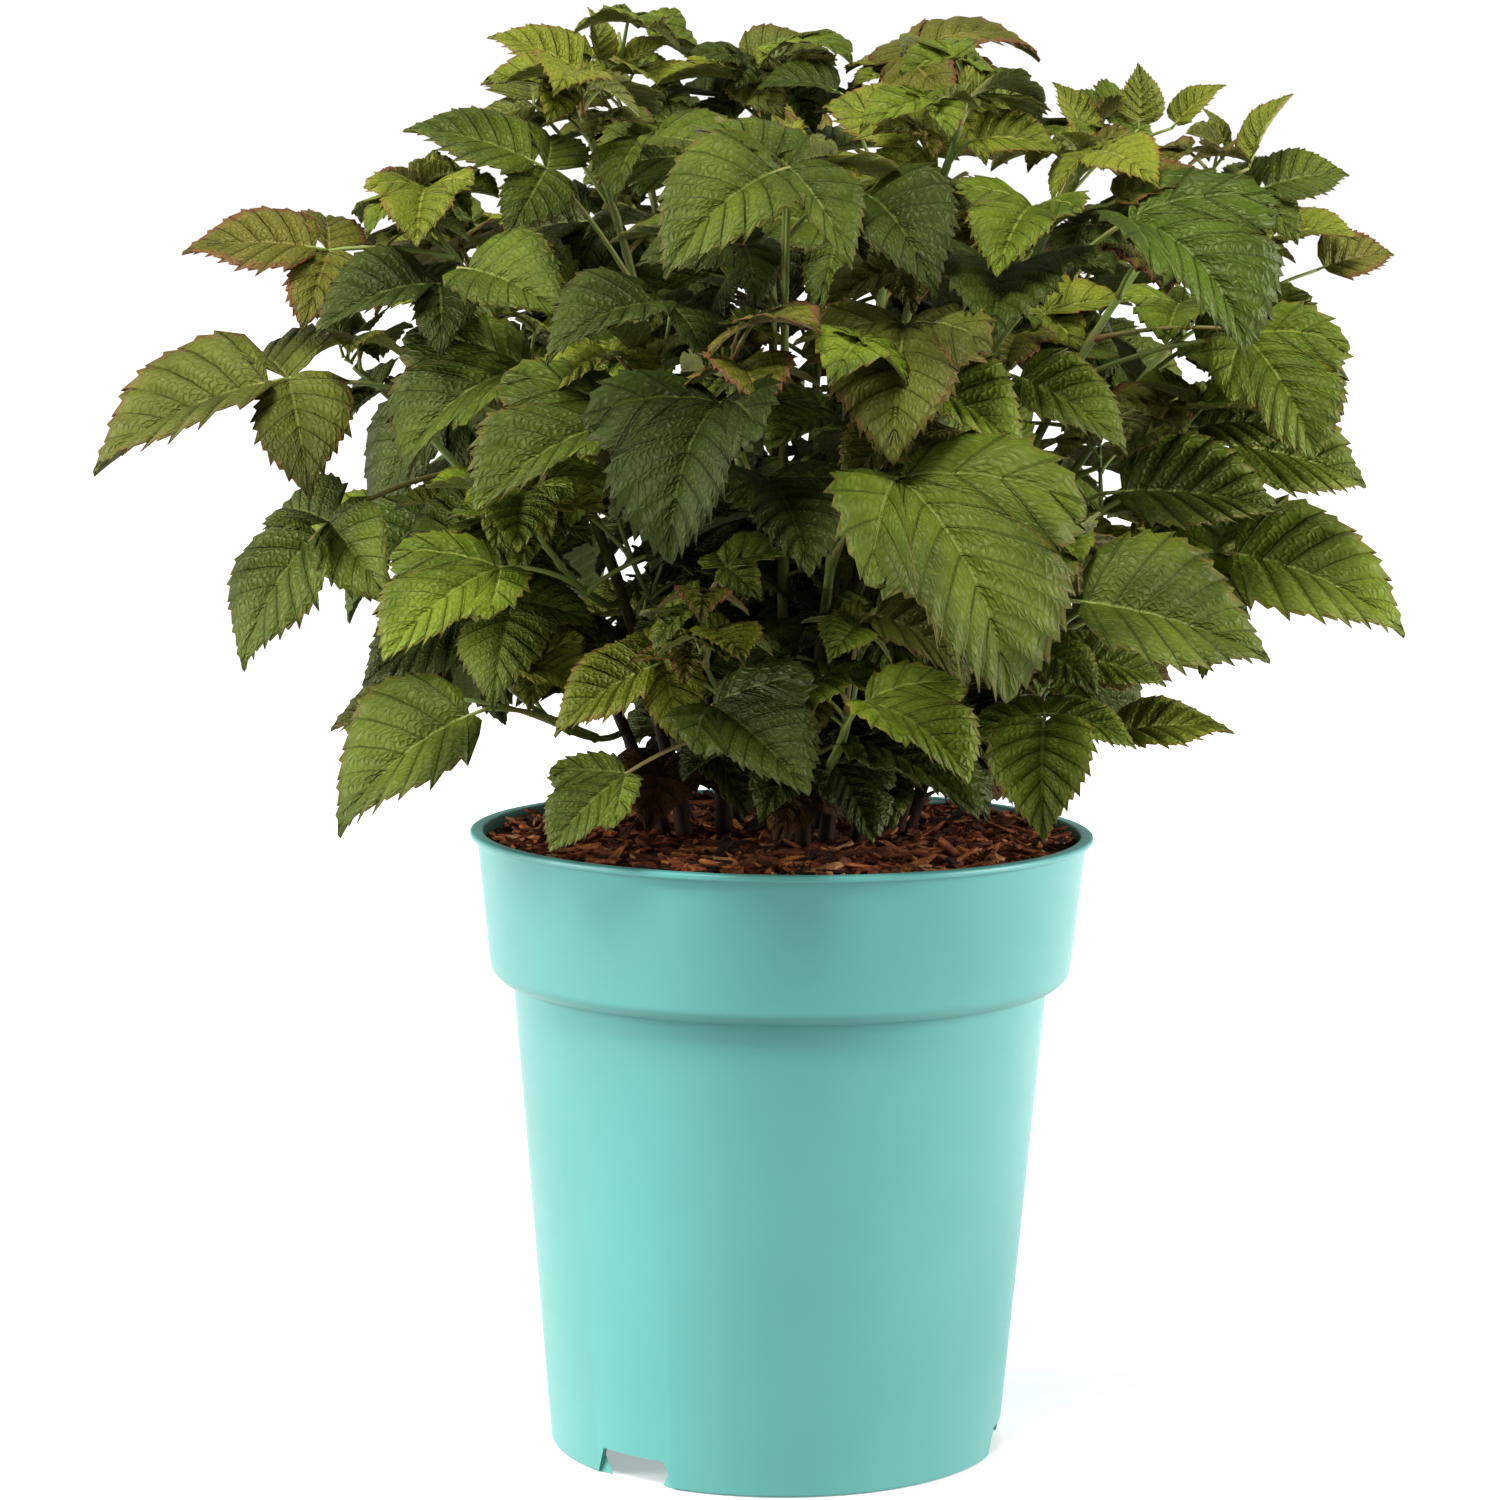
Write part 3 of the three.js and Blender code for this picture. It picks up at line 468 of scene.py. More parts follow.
@dataclass(frozen=True)
class LeafFinish:
    """The two faces of a leaf in one tone: a quilted upper face and a dull, ribbed underside."""

    name: str
    base: str
    # dark is a darker tone that the upper face's cloud mixes in at random; the upper face's vein
    # grooves and cell edges also take it as painted shade.
    dark: str
    vein: str
    rim: str
    under: str
    rib: str
    gloss: float = 0.4
    rim_from: float = 1.04

    def _weave(self, board: Board) -> tuple[Wire, Wire, Wire]:
        """The place in the leaf: run from the rib in mm, count of side veins, share to the rim.

        Args:
            board: the leaf's node board.

        Returns:
            The three wires.
        """
        quilt = board.add("ShaderNodeAttribute", {"attribute_name": "quilt"})
        parts = board.add("ShaderNodeSeparateXYZ", None, {0: quilt.outputs["Vector"]})
        return tuple(Wire(board, socket) for socket in parts.outputs)

    def _cells(self, board: Board, run: Wire, phase: Wire) -> Wire:
        """Small cells between the finest veins, 0 at their edges.

        Args:
            board: the leaf's node board.
            run: the run from the rib in millimetres.
            phase: the count of side veins.

        Returns:
            The height of the cells.
        """
        at = board.add("ShaderNodeCombineXYZ", None, {0: run * 0.42, 1: phase * 3.2})
        cells = board.add(
            "ShaderNodeTexVoronoi",
            {"feature": "DISTANCE_TO_EDGE", "voronoi_dimensions": "2D"},
            {"Vector": at.outputs[0], "Scale": 1.0, "Randomness": 0.9})
        return Wire(board, cells.outputs["Distance"]).eased(0.0, 0.32)

    def upper(self) -> Material:
        """Makes the upper face's material.

        Returns:
            The material.
        """
        board = Board(f"leaf_{self.name}", Specular_IOR_Level=0.34,
                      Specular_Tint=(1.0, 1.0, 0.55, 1.0))
        where = board.place()
        run, phase, reach = self._weave(board)
        cells = self._cells(board, run, phase)
        cloud = board.speckle(where, 0.035, 2.0)
        blotch = board.speckle(where, 0.005, 4.0, 0.6)
        between = phase.from_whole()
        groove = 1 - between.eased(0.012, 0.08)
        pillow = between.eased(0.02, 0.42)
        rib = 1 - run.eased(0.35, 1.0)
        tone = board.mix(cloud.eased(0.35, 0.68), colour(self.base), colour(self.dark))
        edge = (reach + 0.35 * blotch).eased(self.rim_from, self.rim_from + 0.26)
        # The cells' edges and the vein grooves are darkened with the dark colour as painted shade
        # in their creases; the blotches, the rib and the rim are the leaf's own colours.
        for mask, over in ((blotch.eased(0.45, 0.75) * 0.25, self.vein),
                           ((1 - cells) * 0.34, self.dark), (groove * 0.75, self.dark),
                           (rib * 0.75, self.vein), (edge, self.rim)):
            tone = board.mix(mask, tone, colour(over))
        board.bump(1.1 * pillow + 0.3 * cells + 0.42 * blotch - 0.8 * groove, 0.001, 1.0)
        return board.finish(Base_Color=tone, Roughness=self.gloss + 0.2 * blotch)

    def lower(self) -> Material:
        """Makes the underside's material.

        Returns:
            The material.
        """
        board = Board(f"underleaf_{self.name}", Specular_IOR_Level=0.25, Sheen_Weight=0.12,
                      Sheen_Roughness=0.5)
        where = board.place()
        run, phase, _ = self._weave(board)
        cells = self._cells(board, run, phase)
        cloud = board.speckle(where, 0.03, 2.0)
        rib = (1 - phase.from_whole().eased(0.02, 0.07)) * 0.85
        tone = board.mix(cloud.eased(0.3, 0.7) * 0.6, colour(self.under), colour(self.base))
        for mask in ((1 - cells) * 0.25, rib, 1 - run.eased(0.5, 1.0)):
            tone = board.mix(mask, tone, colour(self.rib))
        board.bump(1.5 - 0.6 * cells + rib, 0.0005, 0.7)
        return board.finish(Base_Color=tone, Roughness=0.72 + 0.12 * cloud)


class Tone(Enum):
    """The tones that the leaves are dealt out in."""

    DEEP = LeafFinish("deep", "#3d4a0e", "#243005", "#5d692b", "#403a14", "#5c622a", "#7c8044")
    # SHADED is darker than DEEP: painted shade for a leaf that stands in shade.
    SHADED = LeafFinish(
        "shaded", "#283904", "#182302", "#47541a", "#2e2a10", "#40461e", "#5c6034", gloss=0.46)
    MID = LeafFinish("mid", "#5d6d1a", "#3a480b", "#818d3e", "#65521e", "#6c7434", "#90944e")
    FRESH = LeafFinish("fresh", "#74861f", "#4d5e10", "#9ba746", "#7c6024", "#7e863a", "#a3a758")
    YOUNG = LeafFinish(
        "young", "#8b9128", "#66701a", "#aeae4c", "#865a2c", "#949846", "#b4b464", rim_from=1.02)
    BRONZE = LeafFinish(
        "bronze", "#767426", "#555616", "#968a44", "#74482a", "#7a7238", "#a09254", rim_from=0.9)
    DULL = LeafFinish(
        "dull", "#666c24", "#484c14", "#84823e", "#6c4e28", "#6c6e36", "#8e8c4e", rim_from=1.0)
    GLOSSY = LeafFinish(
        "glossy", "#546b18", "#35460c", "#728440", "#484614", "#5e662c", "#82864a", gloss=0.34)
    DRY = LeafFinish(
        "dry", "#5e3a1e", "#38200f", "#7c5430", "#3c2412", "#6a4828", "#8a6540", gloss=0.7)


# Tones, each with the draw that it goes up to.
Deal = tuple[tuple[float, Tone], ...]


@dataclass(frozen=True)
class StudioWhite:
    """Matt painted floor."""

    def material(self) -> Material:
        """Makes the material.

        Returns:
            The material.
        """
        board = Board("studio_white", Specular_IOR_Level=0.1, Roughness=0.9,
                      Emission_Color=(1.0, 1.0, 1.0, 1.0), Emission_Strength=0.35)
        cloud = board.speckle(board.place(), 0.8)
        return board.finish(Base_Color=board.mix(cloud, colour("#ececea"), colour("#e9e9e7")))


# ---------- Meshes ----------


@dataclass
class Skin:
    """Points and triangles in millimetres, gathered until they become one piece."""

    points: list[Array] = field(default_factory=list)
    faces: list[Array] = field(default_factory=list)
    slots: list[Array] = field(default_factory=list)
    smooth: list[Array] = field(default_factory=list)
    quilt: list[Array] = field(default_factory=list)
    count: int = 0

    def add(self, points: Array, faces: Array, slot: object = 0,
            smooth: object = True, quilt: Array | None = None) -> None:
        """Adds a body.

        Args:
            points: its points, one row each.
            faces: its triangles, as rows of three numbers of its own points.
            slot: its finish, or one for each triangle.
            smooth: whether it is shaded smooth, or one answer for each triangle.
            quilt: three values for each corner of each triangle, for leaves.
        """
        faces = np.asarray(faces, dtype=np.int64)
        self.points.append(np.asarray(points, dtype=float))
        self.faces.append(faces + self.count)
        self.slots.append(np.broadcast_to(slot, len(faces)))
        self.smooth.append(np.broadcast_to(smooth, len(faces)))
        if quilt is not None:
            self.quilt.append(quilt)
        self.count += len(points)

    def build(self, name: str, finishes: Sequence[Material]) -> Object:
        """Makes the piece.

        Args:
            name: the piece's name.
            finishes: the materials that the slots number.

        Returns:
            The new object, linked to the scene.
        """
        points = np.concatenate(self.points) * MM
        faces = np.concatenate(self.faces)
        used, slots = np.unique(np.concatenate(self.slots), return_inverse=True)
        mesh = bpy.data.meshes.new(name)
        mesh.vertices.add(len(points))
        mesh.vertices.foreach_set("co", points.astype(np.float32).ravel())
        mesh.loops.add(faces.size)
        mesh.loops.foreach_set("vertex_index", faces.astype(np.int32).ravel())
        mesh.polygons.add(len(faces))
        mesh.polygons.foreach_set("loop_start", np.arange(0, faces.size, 3, dtype=np.int32))
        for slot in used:
            mesh.materials.append(finishes[slot])
        mesh.polygons.foreach_set("material_index", slots.astype(np.int32))
        mesh.polygons.foreach_set("use_smooth", np.concatenate(self.smooth))
        if self.quilt:
            values = mesh.attributes.new("quilt", "FLOAT_VECTOR", "CORNER")
            values.data.foreach_set("vector", np.concatenate(self.quilt).astype(np.float32).ravel())
        mesh.update(calc_edges=True)
        piece = bpy.data.objects.new(name, mesh)
        bpy.context.scene.collection.objects.link(piece)
        return piece


def one_body(name: str, points: Array, faces: Array, finish: Material | None = None) -> Object:
    """Makes a piece of one body.

    Args:
        name: the piece's name.
        points: its points.
        faces: its triangles.
        finish: its material, where it is seen.

    Returns:
        The piece.
    """
    skin = Skin()
    skin.add(points, faces)
    return skin.build(name, [finish])


def hand_over(piece: Object, slot: str, nodes: Iterable[str] = ()) -> None:
    """Rides a piece on the bush, hides the solids that it stands for, and logs it with its slot's
    name.

    Args:
        piece: the piece.
        slot: its slot's name.
        nodes: the solids that it stands for.
    """
    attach(piece, BODY)
    if nodes:
        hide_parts(*nodes)
    LOG.info("%s: %d faces, slot %s", piece.name, len(piece.data.polygons), slot)


def grid_faces(rows: int, columns: int, closed: bool = False) -> Array:
    """Triangles over a grid of points, counted row by row; closed joins the last column on.

    Args:
        rows: how many rows there are.
        columns: how many points a row has.
        closed: whether each row is a ring.

    Returns:
        The triangles.
    """
    across = columns if closed else columns - 1
    r, c = np.meshgrid(np.arange(rows - 1), np.arange(across), indexing="ij")
    a, b = r * columns + c, r * columns + (c + 1) % columns
    up = columns
    halves = np.stack([np.stack([a, b, b + up], -1), np.stack([a, b + up, a + up], -1)], -2)
    return halves.reshape(-1, 3)


def fan_faces(ring: Sequence[int]) -> Array:
    """Triangles over a flat ring of points."""
    return np.array([(ring[0], a, b) for a, b in zip(ring[1:-1], ring[2:])])


def closed_faces(rows: int, sides: int, flipped: bool = False) -> Array:
    """Triangles of a closed body of stacked rings.

    Args:
        rows: how many rings there are.
        sides: how many points a ring has.
        flipped: whether the faces are turned over.

    Returns:
        The triangles.
    """
    turn = -1 if flipped else 1
    first, last = list(range(sides)), list(range((rows - 1) * sides, rows * sides))
    grid = grid_faces(rows, sides, closed=True)[:, ::turn]
    return np.concatenate([grid, fan_faces(first[::-turn]), fan_faces(last[::turn])])


def rail(centres: Array) -> tuple[Array, Array]:
    """Two directions across a run of points, carried along it without twisting.

    Args:
        centres: the points.

    Returns:
        Each direction at each point.
    """
    ahead = np.gradient(centres, axis=0)
    ahead /= np.linalg.norm(ahead, axis=1)[:, None]
    level = np.array((1.0, 0.0, 0.0) if abs(ahead[0, 0]) < 0.8 else (0.0, 1.0, 0.0))
    across = np.empty_like(centres)
    for i, direction in enumerate(ahead):
        level = unit(level - direction * float(level @ direction))
        across[i] = level
    return across, np.cross(ahead, across)


def tube(centres: Array, radii: Array, sides: int) -> Shape:
    """A closed round limb.

    Args:
        centres: the points along its middle.
        radii: its radius at each of them, or at each of them and each side.
        sides: how many sides it has.

    Returns:
        Its points and triangles.
    """
    across, other = rail(centres)
    cosines, sines = ring(sides).T[:, :, None]
    radii = np.broadcast_to(np.reshape(radii, (len(centres), -1)), (len(centres), sides))
    rim = across[:, None] * cosines + other[:, None] * sines
    points = (centres[:, None] + rim * radii[:, :, None]).reshape(-1, 3)
    return points, closed_faces(len(centres), sides)


# ---------- The pot ----------


@dataclass
class Pot:
    """A round nursery pot with a lip, a broad band, a raised drain ring and notches in its foot."""

    height: float = 229.0
    wall: float = 2.2
    floor: float = 2.5
    sides: int = 240
    lip_radius: float = 115.0
    lip_depth: float = 2.4
    band_top: float = 112.4
    band_bottom: float = 107.2
    band_depth: float = 54.5
    shoulder: float = 3.4
    neck: float = 99.0
    foot: float = 83.8
    channel_height: float = 13.0
    stand: float = 52.0
    channel_inner: float = 62.0
    notch_headings: tuple[float, ...] = (-128.0, -8.0, 112.0)
    notch_width: float = 17.0
    notch_height: float = 9.0
    recess_width: float = 36.0
    recess_depth: float = 1.1
    recess_slope: float = 4.0
    recess_over: float = 1.0
    cut_reach: float = 15.0
    cut_below: float = 1.0
    drain_count: int = 6
    drain_radius: float = 4.0
    drain_ring: float = 71.0
    drain_first: float = -98.0
    drain_sides: int = 24
    round_steps: int = 5
    longest_round: float = 0.45
    sharp_from: float = 32.0

    @property
    def under_band(self) -> float:
        """The height of the band's lower edge."""
        return self.height - self.band_depth

    def wall_radius(self, z: float) -> float:
        """The outer radius below the band."""
        return lerp(self.foot, self.neck, z / self.under_band)

    def profile(self) -> list[Triple]:
        """Corners of the section as radius, height and how far each is rounded.

        Returns:
            The corners, from the middle of the underside to the middle of the floor.
        """
        lip_bottom, wall, floor = self.height - self.lip_depth, self.wall, self.floor
        raised, floor_top = self.channel_height, self.channel_height + self.floor
        inside = self.wall_radius(floor_top) - wall
        under = self.under_band
        return [
            (0, 0, 0),
            (self.stand, 0, 1.2),
            (self.channel_inner, raised, 2.0),
            (self.wall_radius(raised) - wall, raised, 1.0),
            (self.wall_radius(0) - wall, 0, 0.7),
            (self.wall_radius(0), 0, 0.9),
            (self.neck, under, 0.8),
            (self.band_bottom - self.shoulder, under, 1.2),
            (self.band_bottom, under + self.shoulder, 2.6),
            (self.band_top, lip_bottom, 0.8),
            (self.lip_radius, lip_bottom, 0.9),
            (self.lip_radius, self.height, 1.1),
            (self.band_top - wall, self.height, 0.8),
            (self.band_bottom - wall, under + self.shoulder, 2.0),
            (self.band_bottom - self.shoulder - wall / 2, under + wall, 1.0),
            (self.neck - wall, under + wall, 1.5),
            (inside, floor_top, 1.5),
            (self.channel_inner + floor / 2, floor_top, 2.0),
            (self.stand + floor / 2, floor, 1.5),
            (0, floor, 0),
        ]

    def section(self) -> Array:
        """The section with its corners rounded and its long runs divided.

        Returns:
            Radius and height of each point.
        """
        corners = [np.array(c[:2], dtype=float) for c in self.profile()]
        rounds = [c[2] for c in self.profile()]
        points = [corners[0]]
        for i in range(1, len(corners) - 1):
            before, corner, after = corners[i - 1], corners[i], corners[i + 1]
            shortest = min(np.linalg.norm(corner - before), np.linalg.norm(after - corner))
            cut = min(rounds[i], self.longest_round * shortest)
            start = corner + unit(before - corner) * cut
            end = corner + unit(after - corner) * cut
            for t in np.linspace(0, 1, self.round_steps):
                points.append((1 - t) ** 2 * start + 2 * t * (1 - t) * corner + t * t * end)
        points.append(corners[-1])
        return np.array(points)

    def cutters(self) -> list[Object]:
        """The bodies that cut the notches, their shallow recesses and the drain holes.

        Returns:
            The cutting bodies.
        """
        made = []
        edge = self.foot * math.cos(self.recess_width / 2 / self.foot) - self.recess_depth
        notch, recess, reach = self.notch_width / 2, self.recess_width / 2, self.cut_reach
        for heading in self.notch_headings:
            made.append(self._wedge(heading, self.foot - reach, self.foot + reach,
                                    notch, notch, self.notch_height))
            made.append(self._wedge(heading, edge, edge + 2 * reach, recess,
                                    recess - self.recess_slope,
                                    self.notch_height + self.recess_over))
        rise = UP * 2 * self.floor
        for i in range(self.drain_count):
            heading = self.drain_first + i * 360 / self.drain_count
            centre = heading_vector(heading) * self.drain_ring
            middle = centre + UP * (self.channel_height + self.floor / 2)
            hole = tube(np.array([middle - rise, middle + rise]), np.full(2, self.drain_radius),
                        self.drain_sides)
            made.append(one_body("drain_cut", *hole))
        return made

    def _wedge(self, heading: float, near: float, far: float, low: float, high: float,
               top: float) -> Object:
        """A block through the foot, low and high half as wide at its foot and at its top.

        Args:
            heading: where it stands.
            near: its nearest reach from the middle.
            far: its furthest reach.
            low: half its width at its foot.
            high: half its width at its top.
            top: the height of its top.

        Returns:
            The block.
        """
        out, side = heading_vector(heading), heading_vector(heading + 90)
        base = -self.cut_below
        points = [out * x + side * y * (low if z == base else high) + UP * z
                  for z in (base, top) for x, y in ((near, -1), (far, -1), (far, 1), (near, 1))]
        quads = [(3, 2, 1, 0), (4, 5, 6, 7), (0, 1, 5, 4), (1, 2, 6, 5), (2, 3, 7, 6), (3, 0, 4, 7)]
        faces = np.array([half for q in quads for half in (q[:3], (q[0], q[2], q[3]))])
        return one_body("notch_cut", np.array(points), faces)

    def build(self) -> Object:
        """Makes the pot and cuts it.

        Returns:
            The pot.
        """
        section = self.section()[1:-1]
        flat = section[:, 0, None, None] * ring(self.sides)
        heights = np.broadcast_to(section[:, 1, None, None], (len(section), self.sides, 1))
        points = np.concatenate([flat, heights], -1).reshape(-1, 3)
        count = len(points)
        points = np.concatenate([points, [(0, 0, 0), (0, 0, self.floor)]])
        last = (len(section) - 1) * self.sides
        around = [(k, (k + 1) % self.sides) for k in range(self.sides)]
        faces = np.concatenate([
            grid_faces(len(section), self.sides, closed=True),
            [(count, b, a) for a, b in around],
            [(count + 1, last + a, last + b) for a, b in around],
        ])
        pot = one_body("pot_shell", points, faces, PotPlastic().material())
        for cutter in self.cutters():
            cut = pot.modifiers.new("cut", "BOOLEAN")
            cut.object, cut.operation, cut.solver = cutter, "DIFFERENCE", "EXACT"
            with bpy.context.temp_override(object=pot, active_object=pot):
                bpy.ops.object.modifier_apply(modifier=cut.name)
            bpy.data.objects.remove(cutter)
        pot.data.set_sharp_from_angle(angle=rad(self.sharp_from))
        return pot

    def dress(self) -> None:
        """Makes the pot and hands it over."""
        hand_over(self.build(), "pot", ["pot"])


# ---------- The mulch ----------


@dataclass(frozen=True)
class Splinter:
    """A splinter of bark: its sizes, its turns in radians, and how raggedly it is torn.

    levels are the outline's scale and the height, as a share of the thickness, from top to foot.
    """

    length: float
    width: float
    thick: float
    heading: float
    pitch: float
    roll: float
    corners: int = 7
    bluntness: float = 0.6
    raggedness: Pair = (0.75, 1.1)
    roughness: float = 0.12
    warp: Pair = (-0.02, 0.03)
    least_warped: float = 2.0
    levels: tuple[Pair, ...] = ((0.82, 0.5), (1.0, 0.1), (0.86, -0.5))

    def body(self, rng: np.random.Generator) -> Shape:
        """An uneven slab with torn ends, turned about its own middle.

        Args:
            rng: the source of its chances.

        Returns:
            Its points and triangles.
        """
        spread = rng.uniform(0, 2 * math.pi, self.corners)
        angles = np.sort(spread) + rng.uniform(0, 1)
        blunt = np.abs(np.cos(angles)) ** self.bluntness
        rim = np.stack([np.sign(np.cos(angles)) * blunt * self.length / 2,
                        np.sin(angles) * self.width / 2], -1)
        rim *= rng.uniform(*self.raggedness, (self.corners, 1))
        points = np.concatenate([
            np.concatenate([rim * scale, np.full((self.corners, 1), z * self.thick)], -1)
            for scale, z in self.levels])
        points[:, 2] += rng.normal(0, self.roughness * self.thick, len(points))
        bent = points[:, 0] ** 2 / max(self.width, self.least_warped)
        points[:, 2] += rng.uniform(*self.warp) * bent
        spin = (Matrix.Rotation(self.heading, 3, "Z") @ Matrix.Rotation(self.pitch, 3, "Y")
                @ Matrix.Rotation(self.roll, 3, "X"))
        return points @ np.array(spin).T, closed_faces(len(self.levels), self.corners, True)


@dataclass
class Mulch:
    """Shredded bark over dark compost, filled nearly to the lip. Pairs are the least and most."""

    top: float = 224.5
    radius: float = 109.6
    rings: int = 56
    spokes: int = 180
    inner_share: float = 0.0004
    rim_lift: float = 0.05
    lump_sizes: Pair = (21.0, 7.0)
    fine_lumps: float = 0.6
    edge_width: float = 5.0
    rise: Triple = (0.25, 1.25, 0.75)
    seed: int = 7
    chips: int = 3400
    chip_scale: Pair = (2.1, 0.5)
    chip_length: Pair = (3.0, 28.0)
    chip_slimness: Pair = (0.16, 0.55)
    chip_width: Pair = (1.2, 7.5)
    chip_thickness: Pair = (0.4, 1.1)
    thicker_by_width: float = 0.05
    pitch: float = 0.2
    roll: float = 0.35
    inside: float = 0.7
    wall_gap: float = 1.0
    heap: float = 1.9
    heap_power: float = 1.5
    sink: float = 0.3
    least_clearance: float = 0.2
    least_lift: float = 0.15

    # The barks of the chips, each with its share of them.
    barks: ClassVar[tuple[tuple[float, Bark], ...]] = (
        (0.32, Bark("bark_red", "#96502a", "#562612")),
        (0.28, Bark("bark_brown", "#744020", "#3a1e0e")),
        (0.16, Bark("bark_orange", "#c0743c", "#7c4420")),
        (0.08, Bark("bark_tan", "#c89660", "#8c5c32")),
        (0.16, Bark("bark_dark", "#3e2416", "#1e110a")),
    )

    def height(self, x: Array, y: Array) -> Array:
        """How far the rough bed stands over the level fill.

        Args:
            x: the places across.
            y: the places in depth.

        Returns:
            The height at each place.
        """
        flat = np.stack([x, y, np.zeros_like(x)], -1)
        coarse, fine = (smooth_noise(flat, size, n) for n, size in enumerate(self.lump_sizes, 1))
        edge = np.clip((self.radius - np.hypot(x, y)) / self.edge_width, 0, 1)
        least, mean, by_lumps = self.rise
        return least + (mean + by_lumps * (coarse + self.fine_lumps * fine)) * edge

    def bed(self) -> Object:
        """Makes the rough compost under the chips.

        Returns:
            The bed.
        """
        radii = self.radius * np.sqrt(np.linspace(self.inner_share, 1, self.rings))
        x, y = (radii[:, None, None] * ring(self.spokes)).reshape(-1, 2).T
        top = np.stack([x, y, self.top + self.height(x, y)], -1)
        foot = top[-self.spokes:] * (1, 1, 0) + UP * (self.top + self.rim_lift)
        faces = closed_faces(self.rings + 1, self.spokes, flipped=True)
        compost = Bark("compost", "#331e11", "#190f08").material()
        return one_body("compost_bed", np.concatenate([top, foot]), faces, compost)

    def strewn(self, rng: np.random.Generator) -> Shape:
        """One chip where it lies on the bed.

        Args:
            rng: the source of its chances.

        Returns:
            Its points and triangles.
        """
        length = float(np.clip(rng.lognormal(*self.chip_scale), *self.chip_length))
        width = float(np.clip(length * rng.uniform(*self.chip_slimness), *self.chip_width))
        thick = rng.uniform(*self.chip_thickness) + self.thicker_by_width * width
        heading = rng.uniform(0, 2 * math.pi)
        pitch, roll = rng.normal(0, self.pitch), rng.normal(0, self.roll)
        reach = length / 2 * self.inside
        out = (self.radius - self.wall_gap - reach) * math.sqrt(rng.uniform(0, 1))
        bearing = rng.uniform(0, 2 * math.pi)
        x, y = out * math.cos(bearing), out * math.sin(bearing)
        layer = rng.uniform(0, 1) ** self.heap_power * self.heap
        lift = float(self.height(np.array([x]), np.array([y]))[0])
        stand = abs(math.sin(pitch)) * length / 2 * self.inside
        z = self.top + lift + thick / 2 + layer + stand * 0.5 - self.sink
        points, faces = Splinter(length, width, thick, heading, pitch, roll).body(rng)
        return points + np.array((x, y, z)), faces

    def litter(self) -> Object:
        """Makes the bark chips. One that would cut into the wall is left out.

        Returns:
            The chips.
        """
        rng = np.random.default_rng(self.seed)
        shares, finishes = zip(*self.barks)
        skin = Skin()
        for _ in range(self.chips):
            points, faces = self.strewn(rng)
            furthest = np.hypot(points[:, 0], points[:, 1]).max()
            if furthest > self.radius - self.least_clearance:
                continue
            points[:, 2] = np.maximum(points[:, 2], self.top + self.least_lift)
            skin.add(points, faces, int(rng.choice(len(shares), p=shares)), smooth=False)
        return skin.build("bark_chips", [finish.material() for finish in finishes])

    def dress(self) -> None:
        """Makes the bed and the chips and hands them over."""
        hand_over(self.bed(), "soil", ["soil"])
        hand_over(self.litter(), "soil")


# ---------- Canes and stems ----------


class LeafForm(Enum):
    """What a leaf is made of: three leaflets, one lobed blade or one plain blade."""

    THREE = "three"
    LOBED = "lobed"
    SINGLE = "single"


@dataclass(frozen=True)
class Held:
    """A leaf with a place of its own: where its stalk ends, where its blade's tip is, its form."""

    hub: Triple
    tip: Triple
    form: LeafForm = LeafForm.THREE


@dataclass(frozen=True)
class Plan:
    """One leafy shoot: a cane, or a side shoot that leaves the cane named by origin.

    tip is the place of its end. leaf is the length of its lowest blade, first the heading of that
    leaf and droop its extra hang in degrees. bare is the share of a cane below its leaves, and at
    is where a side shoot leaves that bare part. held are the leaves with a place of their own, by
    their number from the lowest.
    """

    name: str
    tip: Triple
    leaves: int
    leaf: float
    first: float
    droop: float
    bare: float = 0.0
    origin: str = ""
    at: float = 0.0
    held: dict[int, Held] = field(default_factory=dict)


